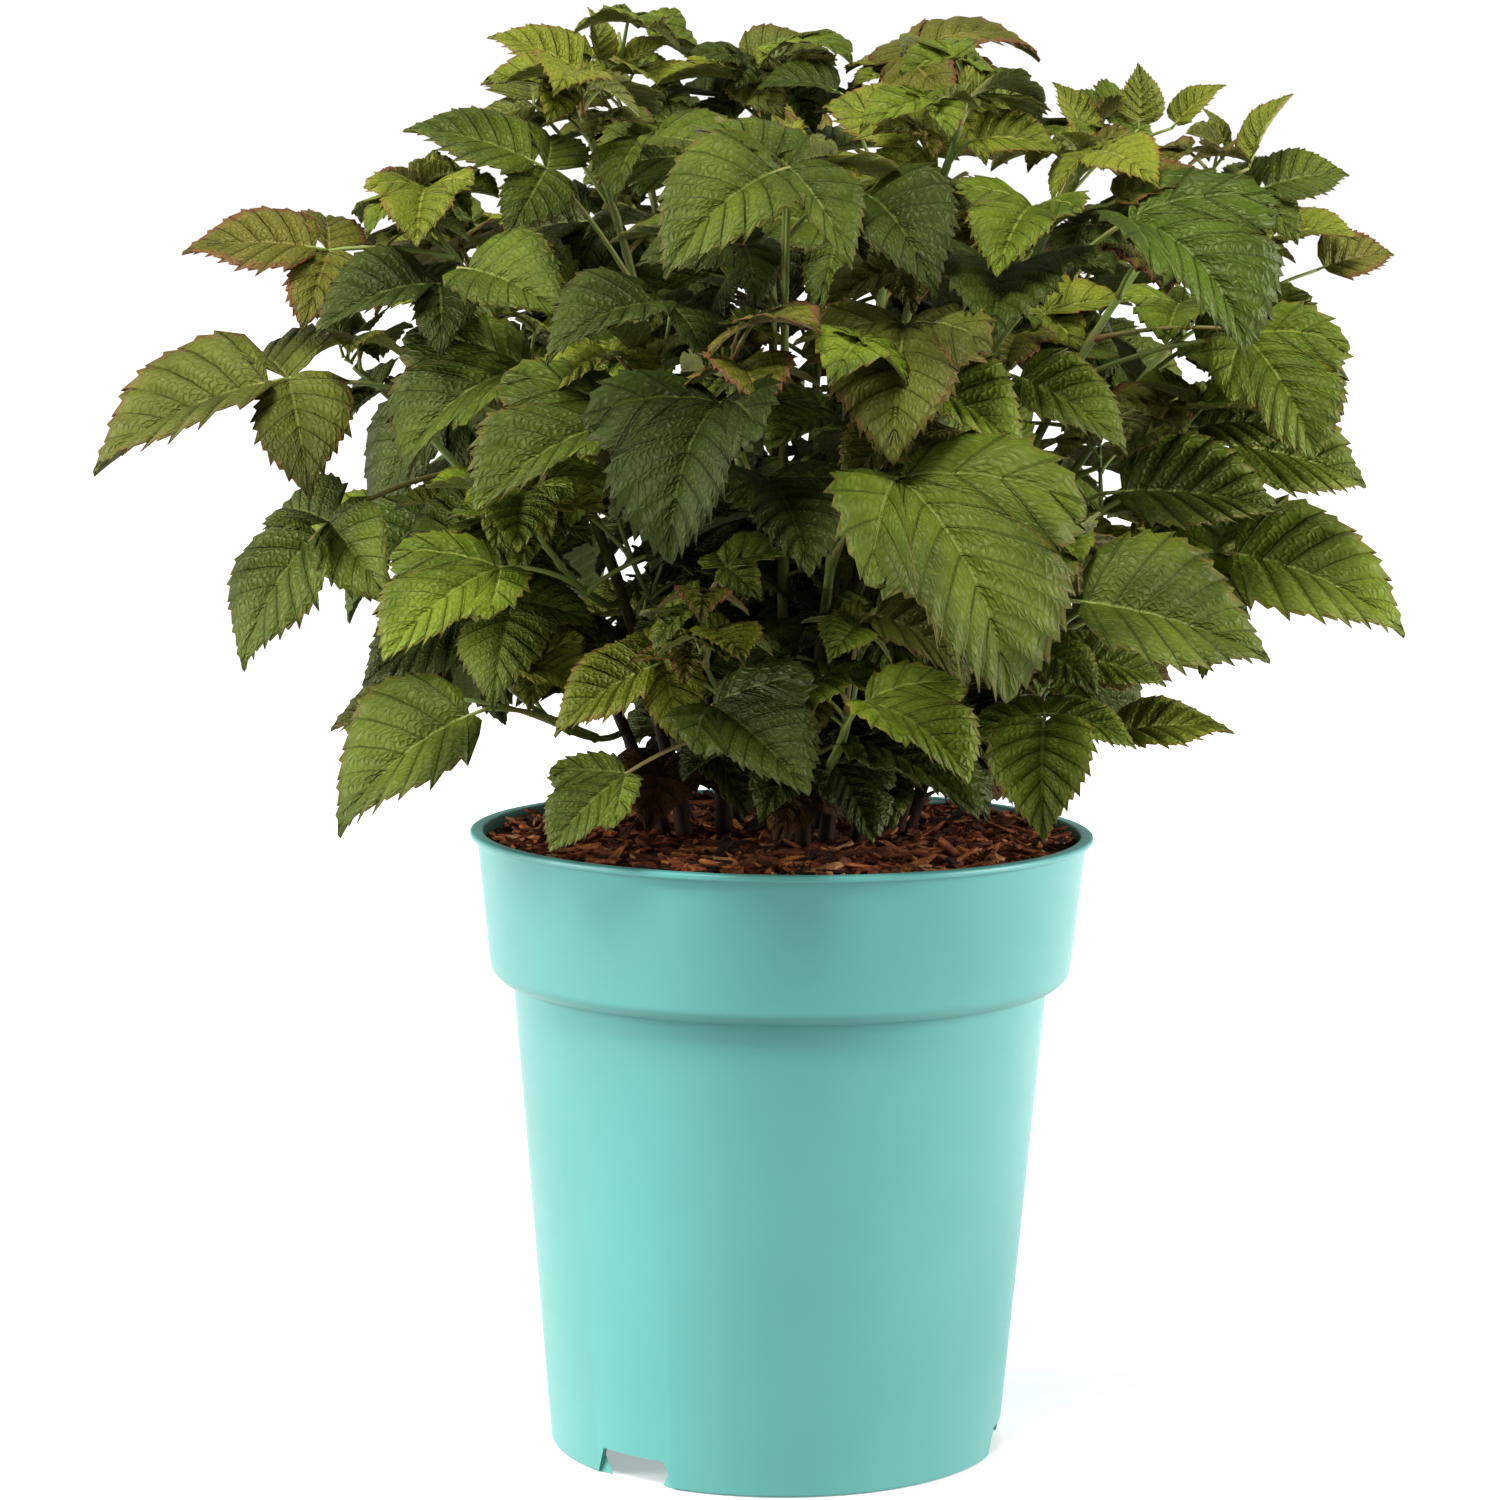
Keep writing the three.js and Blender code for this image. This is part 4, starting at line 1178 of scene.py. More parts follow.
SINGLE, LOBED = LeafForm.SINGLE, LeafForm.LOBED
CANES = (
    Plan("left_outer", (-158, 0, 398), 4, 58, 190, 8, bare=0.56, held={
        1: Held((-163, -42, 344), (-188, -52, 288))}),
    Plan("left_high", (-130, -22, 452), 7, 74, 250, 4, bare=0.55, held={
        0: Held((-177, -45, 395), (-243, -60, 357)),
        2: Held((-123, -56, 429), (-163, -70, 407)),
        3: Held((-115, -74, 435), (-81, -106, 414), SINGLE),
        5: Held((-165, -22, 440), (-218, -28, 435))}),
    Plan("top_left", (-76, 0, 492), 7, 66, 170, 0, bare=0.6, held={
        1: Held((-87, -26, 470), (-139, -32, 480)),
        3: Held((-93, 10, 493), (-147, 2, 484))}),
    Plan("top_left_back", (-62, 74, 502), 7, 62, 80, -8, bare=0.62, held={
        3: Held((-75, 72, 505), (-116, 68, 517), SINGLE),
        4: Held((-72, 74, 510), (-78, 74, 532), SINGLE),
        5: Held((-63, 70, 509), (-44, 66, 517), SINGLE)}),
    Plan("top_mid", (-8, 46, 500), 7, 64, 200, -4, bare=0.62, held={
        4: Held((-18, 50, 507), (21, 54, 510))}),
    Plan("top_right", (50, 40, 498), 7, 64, 40, -4, bare=0.62, held={
        2: Held((20, 20, 498), (-12, 10, 495), SINGLE),
        4: Held((43, 40, 513), (95, 36, 509))}),
    Plan("front_high", (58, -80, 486), 7, 64, 330, 2, bare=0.6, held={
        0: Held((39, -112, 418), (34, -158, 373), LOBED),
        1: Held((83, -92, 458), (73, -128, 434), LOBED),
        2: Held((24, -100, 462), (39, -135, 425), SINGLE),
        4: Held((46, -70, 477), (5, -64, 488)),
        5: Held((61, -76, 480), (92, -84, 471), SINGLE)}),
    Plan("front_top", (-2, -104, 462), 6, 60, 230, 10, bare=0.58, held={
        1: Held((-1, -128, 470), (-26, -154, 426))}),
    Plan("right_front_high", (100, -62, 468), 6, 70, 300, 6, bare=0.58, held={
        0: Held((75, -92, 401), (112, -108, 371), SINGLE),
        1: Held((115, -98, 454), (144, -124, 407), LOBED),
        4: Held((109, -82, 459), (147, -88, 468), SINGLE)}),
    Plan("right_ridge", (116, 70, 484), 6, 62, 30, 0, bare=0.62, held={
        2: Held((112, 62, 483), (97, 66, 505), SINGLE),
        3: Held((132, 68, 488), (131, 70, 513), SINGLE),
        4: Held((143, 48, 488), (164, 44, 503), SINGLE)}),
    Plan("right_high", (154, 0, 472), 6, 68, 300, -6, bare=0.58, held={
        0: Held((162, -42, 413), (173, -62, 368), LOBED),
        1: Held((171, -12, 414), (202, -10, 388), SINGLE),
        3: Held((170, 0, 465), (207, 4, 468)),
        4: Held((167, 2, 473), (183, 0, 500), SINGLE),
        5: Held((158, -4, 478), (149, -8, 494), SINGLE)}),
    Plan("right_outer", (172, 50, 436), 6, 68, 10, 2, bare=0.52, held={
        0: Held((159, 26, 372), (218, 26, 348)),
        3: Held((198, 45, 436), (231, 50, 439), SINGLE)}),
    Plan("centre_front", (26, -128, 404), 5, 70, 290, 18, bare=0.5, held={
        0: Held((36, -148, 368), (59, -182, 294), LOBED)}),
    Plan("back_left", (-132, 118, 436), 6, 74, 130, 6, bare=0.56),
    Plan("back_mid", (18, 150, 458), 6, 74, 90, 8, bare=0.56),
    Plan("back_right", (120, 150, 430), 6, 74, 50, 10, bare=0.54),
    Plan("back_far_left", (-70, 182, 392), 5, 78, 120, 14, bare=0.48),
)
SIDES = (
    Plan("left_low", (-112, -34, 340), 4, 54, 170, 22, origin="left_outer", at=0.7),
    Plan("bottom_left", (-98, -48, 286), 4, 60, 215, 20, origin="left_outer", at=0.35, held={
        0: Held((-105, -62, 280), (-149, -80, 228), SINGLE),
        1: Held((-116, -34, 280), (-168, -22, 262), SINGLE)}),
    Plan("left_front", (-88, -86, 346), 4, 64, 240, 20, origin="left_high", at=0.62, held={
        0: Held((-98, -112, 334), (-129, -142, 302), LOBED)}),
    Plan("centre_left", (-52, -84, 396), 4, 66, 215, 18, origin="top_left", at=0.7, held={
        0: Held((-52, -112, 385), (-100, -142, 353), LOBED),
        1: Held((-91, -66, 400), (-126, -80, 358), LOBED),
        2: Held((-40, -104, 423), (-77, -130, 402))}),
    Plan("centre", (-20, -118, 392), 4, 70, 262, 22, origin="front_top", at=0.8, held={
        0: Held((-23, -140, 392), (-41, -165, 337), LOBED)}),
    Plan("bottom_centre", (-28, -92, 300), 4, 60, 255, 22, origin="front_top", at=0.3, held={
        0: Held((-55, -100, 262), (-77, -112, 234), LOBED),
        1: Held((-25, -116, 288), (0, -152, 259), LOBED)}),
    Plan("bottom_right", (26, -96, 306), 4, 60, 275, 22, origin="centre_front", at=0.34, held={
        0: Held((27, -128, 291), (57, -146, 263), LOBED),
        1: Held((26, -94, 318), (58, -104, 285), SINGLE)}),
    Plan("right_front", (92, -90, 334), 4, 66, 350, 12, origin="right_front_high", at=0.5, held={
        0: Held((94, -112, 325), (164, -122, 298), SINGLE)}),
    Plan("right_bottom", (90, -66, 288), 4, 58, 300, 20, origin="right_high", at=0.26, held={
        0: Held((90, -96, 284), (87, -116, 242)),
        1: Held((116, -45, 271), (162, -48, 270), SINGLE),
        2: Held((87, -76, 303), (105, -96, 288), SINGLE)}),
    Plan("right_mid", (150, 0, 380), 4, 64, 0, 8, origin="right_high", at=0.74, held={
        0: Held((114, -38, 357), (177, -48, 345), SINGLE)}),
    Plan("right_low", (150, 14, 342), 4, 68, 345, 14, origin="right_outer", at=0.62, held={
        0: Held((154, -34, 336), (216, -56, 300))}),
    Plan("back_low_left", (-142, 108, 322), 4, 74, 150, 20, origin="back_left", at=0.55),
    Plan("back_low_mid", (36, 168, 330), 4, 76, 95, 22, origin="back_mid", at=0.5),
    Plan("back_low_right", (134, 130, 318), 4, 74, 40, 20, origin="back_right", at=0.5),
    Plan("inner_left", (-62, -34, 352), 4, 66, 220, 14, origin="top_left", at=0.42),
    Plan("inner_right", (80, 16, 398), 4, 64, 320, 10, origin="right_ridge", at=0.6),
    Plan("inner_front", (52, -66, 352), 4, 66, 300, 14, origin="front_high", at=0.5),
    Plan("inner_back", (-34, 66, 398), 4, 66, 140, 12, origin="top_mid", at=0.62),
    Plan("inner_low", (46, 26, 322), 4, 62, 60, 16, origin="top_right", at=0.34),
    Plan("foot_left", (-48, 14, 300), 4, 40, 200, 16, origin="top_left_back", at=0.3),
    Plan("foot_mid", (2, -20, 296), 4, 38, 280, 16, origin="top_mid", at=0.3),
    Plan("foot_right", (64, -16, 304), 4, 38, 330, 16, origin="right_ridge", at=0.3),
)


@dataclass(frozen=True)
class Curve:
    """A smooth bend through three guide points."""

    start: Array
    bend: Array
    end: Array

    def point(self, share: float) -> Array:
        """The place at a share of the curve."""
        back = 1 - share
        return back * back * self.start + 2 * back * share * self.bend + share * share * self.end

    def tangent(self, share: float) -> Array:
        """The direction at a share of the curve."""
        return unit(lerp(self.bend - self.start, self.end - self.bend, share))

    def places(self, shares: Array) -> Array:
        """The places at several shares of the curve."""
        return np.array([self.point(share) for share in shares])


@dataclass(frozen=True)
class CaneRule:
    """How a cane stands, in the solids and here, and how much slimmer its round skin is."""

    soil_top: float = 224.5
    gap: float = 0.3
    foot_radius: float = 3.1
    tip_radius: float = 1.35
    flare: float = 1.4
    flare_height: float = 0.07
    clump: float = 0.27
    lean_start: float = 0.3
    lean_rise: float = 0.62
    side_base: float = 1.7
    side_tip: float = 1.1
    side_out_first: float = 0.42
    side_bare: float = 0.25
    slimness: float = 0.78

    def cane_curve(self, plan: Plan) -> Curve:
        """A cane stands near the middle, rises and leans out to its tip.

        Args:
            plan: the cane's plan.

        Returns:
            The curve.
        """
        top = np.array(plan.tip, dtype=float)
        foot = np.array((top[0] * self.clump, top[1] * self.clump, self.soil_top + self.gap))
        share = np.array((self.lean_start, self.lean_start, self.lean_rise))
        return Curve(foot, lerp(foot, top, share), top)

    def cane_radius(self, share: float) -> float:
        """A cane's radius at a share of its length."""
        flare = 1 + (self.flare - 1) * max(0.0, 1 - share / self.flare_height)
        return lerp(self.foot_radius, self.tip_radius, share) * flare

    def side_radius(self, share: float) -> float:
        """A side shoot's radius at a share of its length."""
        return lerp(self.side_base, self.side_tip, share)

    def side_curve(self, plan: Plan, cane: "Shoot") -> Curve:
        """A side shoot leaves its cane squarely and then rises to its tip.

        Args:
            plan: the shoot's plan.
            cane: the cane that it leaves.

        Returns:
            The curve.
        """
        share = plan.at * cane.plan.bare
        root, along = cane.curve.point(share), cane.curve.tangent(share)
        top = np.array(plan.tip, dtype=float)
        reach = top - root
        outward = unit(reach - along * float(reach @ along))
        root = root + outward * (self.cane_radius(share) + self.gap)
        bend = root + outward * self.side_out_first * np.linalg.norm(reach)
        return Curve(root, bend, top)


@dataclass
class Shoot:
    """A shoot as it stands: its plan, its curve and where its leaves begin."""

    plan: Plan
    curve: Curve
    leafy_from: float
    seed: int
    radius: Callable[[float], float]

    @property
    def outward(self) -> float:
        """The heading from the middle of the bush to the tip."""
        return math.degrees(math.atan2(self.plan.tip[1], self.plan.tip[0]))

    @property
    def fan(self) -> float:
        """How widely the leaves spread round the stem."""
        return lerp(1, RULE.fan, min(1.0, math.hypot(*self.plan.tip[:2]) / RULE.fan_at))

    def stand(self, share: float) -> float:
        """Where on the curve the leaf stands that is a share of the way from lowest to highest."""
        return lerp(self.leafy_from + RULE.lowest, RULE.highest, share)

    def slim_radii(self, shares: Array) -> Array:
        """The round skin's radius at shares of the curve."""
        return np.array([self.radius(share) for share in shares]) * CANE_RULE.slimness

    def guard(self, start: float, end: float, radius: float, rings: int, sides: int) -> Shape:
        """A plain limb between two shares of the curve that leaves are kept clear of."""
        centres = self.curve.places(np.linspace(start, end, rings))
        return tube(centres, np.full(rings, radius), sides)


# ---------- Leaves ----------


@dataclass(frozen=True)
class LeafRule:
    """How leaves are held, in the solids and here. Pairs are of the lowest leaf and the highest."""

    lowest: float = 0.05
    highest: float = 0.985
    divergence: float = 137.5
    taper: float = 0.42
    taper_power: float = 1.5
    petiole: float = 0.5
    width: float = 0.77
    lobed_length: float = 1.05
    lobed_width: float = 0.92
    lobed_share: float = 0.26
    fold: float = 11.0
    side_share: float = 0.7
    side_angle: float = 84.0
    facing: float = 36.0
    nod: float = 47.0
    rise: Pair = (14.0, 48.0)
    pitch: Pair = (-14.0, 16.0)
    bend: float = 50.0
    side_bend: float = 42.0
    least_bend: float = 36.0
    most_bend: float = 84.0
    fan: float = 0.62
    fan_at: float = 150.0
    guard_middle: float = 0.45
    guard_thickness: float = 1.9


@dataclass(frozen=True)
class Stray:
    """How far a leaf strays from the rule: degrees, and shares of its blade's or stalk's length."""

    heading: float = 14.0
    rise: float = 8.0
    pitch: float = 9.0
    roll: float = 14.0
    bend: float = 12.0
    side_angle: float = 5.0
    side_bend: float = 10.0
    length: float = 0.06
    stalk: float = 0.15


@dataclass(frozen=True)
class Nudge:
    """How a leaf is turned, lifted and shrunk for each attempt, and how many there are."""

    turn: float = 11.0
    lift: float = 18.0
    shrink: float = 0.016
    attempts: int = 18


RULE = LeafRule()
STRAY = Stray()
NUDGE = Nudge()
CANE_RULE = CaneRule()


@dataclass(frozen=True)
class Sector:
    """The part of a blade on one side of a rib.

    The rib runs from the leaf's base to tip. margin is the outline from its lower end to the tip.
    The first vein leaves the rib at the share first and ends at the share foot of the margin. With
    seam_to, the rows up to that vein end on the straight seam to the margin's lower end instead.
    side is 1 where the outside of the margin is on its left, and -1 where it is on its right.
    """

    tip: Pair
    margin: tuple[Pair, ...]
    veins: int
    first: float
    last: float
    foot: float = 0.0
    seam_to: int = -1
    side: int = 1


ROUND_MARGIN = (
    (0.0, 0.0), (-0.02, 0.064), (-0.01, 0.15), (0.035, 0.24), (0.1, 0.31), (0.2, 0.358),
    (0.32, 0.375), (0.44, 0.355), (0.56, 0.3), (0.67, 0.225), (0.76, 0.15), (0.84, 0.088),
    (0.92, 0.036), (1.0, 0.0))
SLIM_MARGIN = (
    (0.0, 0.0), (0.03, 0.04), (0.09, 0.105), (0.18, 0.18), (0.3, 0.25), (0.45, 0.287),
    (0.58, 0.278), (0.7, 0.233), (0.8, 0.165), (0.88, 0.095), (0.94, 0.042), (1.0, 0.0))
LOBE_TIP = (0.46, 0.475)
NOTCH = (0.565, 0.315)
LOBE_MARGIN = (
    (0.0, 0.0), (-0.035, 0.05), (-0.05, 0.13), (-0.02, 0.23), (0.05, 0.32), (0.14, 0.39),
    (0.25, 0.44), (0.36, 0.47), LOBE_TIP)
MIDDLE_MARGIN = (
    NOTCH, (0.61, 0.325), (0.68, 0.3), (0.77, 0.235), (0.86, 0.145), (0.93, 0.062), (1.0, 0.0))
INNER_MARGIN = (NOTCH, (0.53, 0.37), (0.495, 0.43), LOBE_TIP)


class BladeForm(Enum):
    """The right and left sectors of each form of blade."""

    END = ((Sector((1, 0), ROUND_MARGIN, 7, 0.02, 0.78, foot=0.3),),) * 2
    SIDE = (
        (Sector((1, 0), ROUND_MARGIN, 6, 0.02, 0.76, foot=0.3),),
        (Sector((1, 0), SLIM_MARGIN, 6, 0.02, 0.76, foot=0.24),))
    LOBED = ((
        Sector((1, 0), MIDDLE_MARGIN, 7, 0.05, 0.8, seam_to=2),
        Sector(LOBE_TIP, INNER_MARGIN, 4, 0.05, 0.78, seam_to=2, side=-1),
        Sector(LOBE_TIP, LOBE_MARGIN, 4, 0.05, 0.78, foot=0.26)),) * 2
    SMALL = ((Sector((1, 0), ROUND_MARGIN, 5, 0.03, 0.74, foot=0.32),),) * 2


# The solids' plain outlines: share of the length, and the two half widths as shares of the width.
PLAIN_OUTLINES = {
    BladeForm.END: ((0.32, 0.48, 0.48), (0.68, 0.39, 0.39)),
    BladeForm.SIDE: ((0.3, 0.48, 0.24), (0.66, 0.37, 0.33)),
    BladeForm.LOBED: ((0.16, 0.4, 0.4), (0.44, 0.54, 0.54), (0.58, 0.36, 0.36)),
}


@dataclass(frozen=True)
class Hold:
    """Three directions of a blade: along it, to its right, and out of its upper face."""

    along: Array
    side: Array
    normal: Array

    @staticmethod
    def at(heading: float, pitch: float, roll: float) -> "Hold":
        """A hold at a heading and a pitch, turned about its own length by the roll.

        Args:
            heading: where the blade points.
            pitch: how far it points up.
            roll: how far it is turned.

        Returns:
            The hold.
        """
        ahead = heading_vector(heading)
        along = ahead * math.cos(rad(pitch)) + UP * math.sin(rad(pitch))
        side = turned(np.array((ahead[1], -ahead[0], 0.0)), along, rad(roll))
        return Hold(along, side, np.cross(side, along))

    def swung(self, angle: float) -> "Hold":
        """The hold turned about its normal by an angle in radians."""
        return Hold(turned(self.along, self.normal, angle),
                    turned(self.side, self.normal, angle), self.normal)


@dataclass(frozen=True)
class Blade:
    """One leaf blade: its form, its base, its hold, and its length, width and bend in degrees."""

    form: BladeForm
    hand: int
    base: Array
    hold: Hold
    length: float
    width: float
    bend: float

    def midrib(self, share: float) -> tuple[Array, Array]:
        """The midrib's place and the blade's normal at a share of its length.

        Args:
            share: the share of the length.

        Returns:
            The place and the normal.
        """
        whole = rad(self.bend)
        angle = whole * share
        along, normal = self.hold.along, self.hold.normal
        place = (self.base + along * self.length * math.sin(angle) / whole
                 - normal * self.length * (1 - math.cos(angle)) / whole)
        return place, normal * math.cos(angle) + along * math.sin(angle)

    def bent(self, shares: Array, twist: Array) -> tuple[Array, Array, Array]:
        """The places on the midrib, and across and up from it, at shares of the length.

        Args:
            shares: the shares of the length.
            twist: how far the blade is twisted at each, in radians.

        Returns:
            The places and the two directions.
        """
        whole = rad(self.bend)
        theta = whole * shares
        along, side, normal = self.hold.along, self.hold.side, self.hold.normal
        middle = (self.base + np.outer(np.sin(theta) / whole, along) * self.length
                  - np.outer((1 - np.cos(theta)) / whole, normal) * self.length)
        up = np.outer(np.cos(theta), normal) + np.outer(np.sin(theta), along)
        cosine, sine = np.cos(twist)[:, None], np.sin(twist)[:, None]
        return middle, side * cosine + up * sine, up * cosine - side * sine

    def guard(self) -> Shape:
        """A plain closed blade that others are kept clear of.

        Returns:
            Its points and triangles.
        """
        rows = []
        for hand in (1, -1):
            half = []
            for along, outer, inner in PLAIN_OUTLINES[self.form]:
                place, normal = self.midrib(along)
                offset = (inner if self.hand * hand == -1 else outer) * self.width
                lift = rad(RULE.fold)
                half.append(place + self.hold.side * hand * offset * math.cos(lift)
                            + normal * offset * math.sin(lift))
            rows.append(half)
        loop = [self.base, *rows[0], self.midrib(1)[0], *rows[1][::-1]]
        place, normal = self.midrib(RULE.guard_middle)
        lift = normal * RULE.guard_thickness / 2
        n = len(loop)
        faces = [(n, i, (i + 1) % n) for i in range(n)]
        faces += [(n + 1, (i + 1) % n, i) for i in range(n)]
        return np.array([*loop, place + lift, place - lift]), np.array(faces)


@dataclass(frozen=True)
class Pose:
    """How a leaf is to be held: its length, and its blade's bend, heading and pitch.

    reach and rise are its stalk's, where the leaf has no hub of its own.
    """

    length: float
    bend: float
    heading: float
    pitch: float
    reach: float = 0.0
    rise: float = 0.0


@dataclass(frozen=True)
class Leaf:
    """A leaf as it stands: its stalk from root to hub, its blades, and its age and keys."""

    root: Array
    hub: Array
    blades: tuple[Blade, ...]
    keys: tuple[int, int]
    age: float


@dataclass(frozen=True)
class Pattern:
    """A flat blade of length 1, cut into rows along its veins.

    points holds along and across, lift the relief, and thick how far the underside is below. faces
    numbers the upper points first and then the lower ones. under and rim say which faces are the
    underside and the cut edge, and quilt gives each corner its run, vein count and share to rim.
    """

    points: Array
    lift: Array
    thick: Array
    faces: Array
    under: Array
    rim: Array
    quilt: Array


@dataclass(frozen=True)
class BladeCutter:
    """Cuts patterns: teeth along the margin, and a groove on each vein with a swell between.

    Each tooth is a place between two veins and how far it stands out. Sizes are shares of the
    blade's length, and columns and swell_run are shares of the run from the rib to the margin.
    """

    columns: tuple[float, ...] = (0.0, 0.028, 0.34, 0.7, 1.0)
    teeth: tuple[Pair, ...] = ((0.0, 1.0), (0.14, -0.3), (0.5, 0.38), (0.68, -0.3))
    last_teeth: tuple[Pair, ...] = ((0.0, 1.0), (0.2, -0.25), (0.6, 0.3))
    base_rows: int = 3
    tooth: float = 0.048
    relief: float = 0.032
    sheet: float = 0.0045
    rib: float = 0.012
    groove: float = 0.006
    vein: float = 0.004
    bow: float = 0.07
    swell_power: float = 0.75
    swell_run: tuple[tuple[float, ...], ...] = (
        (0.0, 0.03, 0.3, 0.7, 1.0), (0.0, 0.25, 0.85, 1.0, 0.7))
    full_run: float = 0.2
    last_end: float = 0.965
    end_power: float = 0.88
    step: float = 0.02
    tooth_spread: Pair = (0.7, 1.3)
    tooth_lean: Pair = (0.75, 0.65)
    tip_rate: float = 4.0
    tip_share: float = 1.02
    edge_quilt: Triple = (9.0, 0.5, 1.0)
    digits: int = 6

    def rows(self, sector: Sector, rng: np.random.Generator) -> list[tuple]:
        """Each row's start on the rib, its end, its vein count and whether its end is free.

        Args:
            sector: the sector of the blade.
            rng: the source of its chances.

        Returns:
            The rows.
        """
        margin, tip = np.array(sector.margin), np.array(sector.tip, dtype=float)
        steps = np.linalg.norm(np.diff(margin, axis=0), axis=1)
        at = np.concatenate([[0.0], np.cumsum(steps)]) / steps.sum()

        def edge(share: float) -> Array:
            """The place at a share of the margin."""
            return np.array([np.interp(share, at, margin[:, i]) for i in (0, 1)])

        n = sector.veins
        counts = np.arange(n) / (n - 1)
        leaves_at = np.append(lerp(sector.first, sector.last, counts), 1.0)
        ends_at = np.append(lerp(sector.foot, self.last_end, counts ** self.end_power), 1.0)
        free_from = max(sector.seam_to, -1)
        phases = [(i / self.base_rows - 1, 0.0) for i in range(self.base_rows)]
        for k in range(n):
            phases += [(k + f, r) for f, r in (self.teeth if k < n - 1 else self.last_teeth)]
        made = []
        for phase, reach in phases:
            k = int(max(phase, 0))
            if phase < 0:
                start = tip * sector.first * (phase + 1)
            else:
                start = tip * lerp(leaves_at[k], leaves_at[k + 1], phase - k)
            if sector.seam_to >= 0 and phase <= free_from:
                end = margin[0] * (phase + 1) / (free_from + 1)
                made.append((start, end, phase, phase == free_from))
                continue
            if sector.seam_to >= 0:
                share = (phase - free_from) / (n - free_from)
            elif phase < 0:
                share = sector.foot * (phase + 1)
            else:
                share = lerp(ends_at[k], ends_at[k + 1], phase - k)
            end = edge(share)
            ahead = unit(edge(min(share + self.step, 1)) - edge(max(share - self.step, 0)))
            out = np.array((-ahead[1], ahead[0])) * sector.side
            fade = min(1.0, self.tip_rate * (self.tip_share - share))
            size = self.tooth * reach * rng.uniform(*self.tooth_spread) * fade
            forwards, outwards = self.tooth_lean
            way = unit(forwards * ahead + outwards * out) if reach > 0 else out
            made.append((start, end + way * size, phase, True))
        made.append((tip, tip, float(n), True))
        return made

    def half(self, sector: Sector, hand: int, rng: np.random.Generator) -> tuple:
        """The grid of one sector: points, lift, thickness, corners' values and free ends.

        Args:
            sector: the sector.
            hand: 1, or -1 to mirror it.
            rng: the source of its chances.

        Returns:
            The five lists, row by row.
        """
        rows = self.rows(sector, rng)
        columns = np.array(self.columns)
        points, lift, thick, quilt, free = [], [], [], [], []
        for start, end, phase, is_free in rows:
            run = np.linalg.norm(end - start)
            ahead = unit(np.array(sector.tip, dtype=float))
            bow = -self.bow * run * columns * (1 - columns)
            line = start + (end - start) * columns[:, None] + ahead * bow[:, None]
            points.append(line * (1, hand))
            swell = math.sin(math.pi * (phase % 1.0)) ** self.swell_power
            reach = np.interp(columns, *self.swell_run)
            if not is_free:
                reach = reach * (1 - columns)
            fade = min(1.0, run / self.full_run)
            lift.append(self.relief * swell * reach * fade - self.groove * (columns == 0))
            thick.append(self.sheet + self.rib * fade * (columns == 0)
                         + self.vein * fade * (1 - swell) * (1 - columns))
            quilt.append(np.stack([run * columns, np.full_like(columns, phase), columns], -1))
            free.append(is_free)
        return np.array(points), np.array(lift), np.array(thick), np.array(quilt), free

    def cut(self, form: BladeForm, seed: int) -> Pattern:
        """Cuts one pattern of a form.

        Args:
            form: the form.
            seed: what its chances start from.

        Returns:
            The pattern.
        """
        rng = np.random.default_rng(seed)
        columns = len(self.columns)
        points, lifts, thicks, faces, quilts, strips = [], [], [], [], [], []
        count = 0
        for hand, sectors in zip((1, -1), form.value):
            for sector in sectors:
                grid, lift, thick, quilt, free = self.half(sector, hand, rng)
                tris = grid_faces(len(grid), columns)
                values = quilt.reshape(-1, 3)[tris]
                # The grid's triangles face up where its rows and columns turn anticlockwise.
                if sector.side * hand > 0:
                    tris, values = tris[:, ::-1], values[:, ::-1]
                points.append(grid.reshape(-1, 2))
                lifts.append(lift.ravel())
                thicks.append(thick.ravel())
                faces.append(tris + count)
                quilts.append(values)
                ends = count + np.arange(len(grid)) * columns + columns - 1
                pairs = [(ends[i], ends[i + 1]) for i in range(len(grid) - 1)
                         if free[i] and free[i + 1]]
                strips += [p[::-1] if sector.side * hand > 0 else p for p in pairs]
                count += grid.shape[0] * columns
        points = np.concatenate(points)
        _, first, same = np.unique(np.round(points, self.digits), axis=0, return_index=True,
                                   return_inverse=True)
        same = same.ravel()
        n = len(first)
        top, quilt = same[np.concatenate(faces)], np.concatenate(quilts)
        whole = ((top[:, 0] != top[:, 1]) & (top[:, 1] != top[:, 2]) & (top[:, 0] != top[:, 2]))
        top, quilt = top[whole], quilt[whole]
        strip = np.array([t for a, b in same[np.array(strips)] if a != b
                          for t in ((a, a + n, b + n), (a, b + n, b))])
        kinds = np.repeat((0, 1, 2), (len(top), len(top), len(strip)))
        edge_quilt = np.broadcast_to(np.array(self.edge_quilt), (len(strip), 3, 3))
        return Pattern(
            points[first], np.concatenate(lifts)[first], np.concatenate(thicks)[first],
            np.concatenate([top, top[:, ::-1] + n, strip]), kinds == 1, kinds == 2,
            np.concatenate([quilt, quilt[:, ::-1], edge_quilt]))


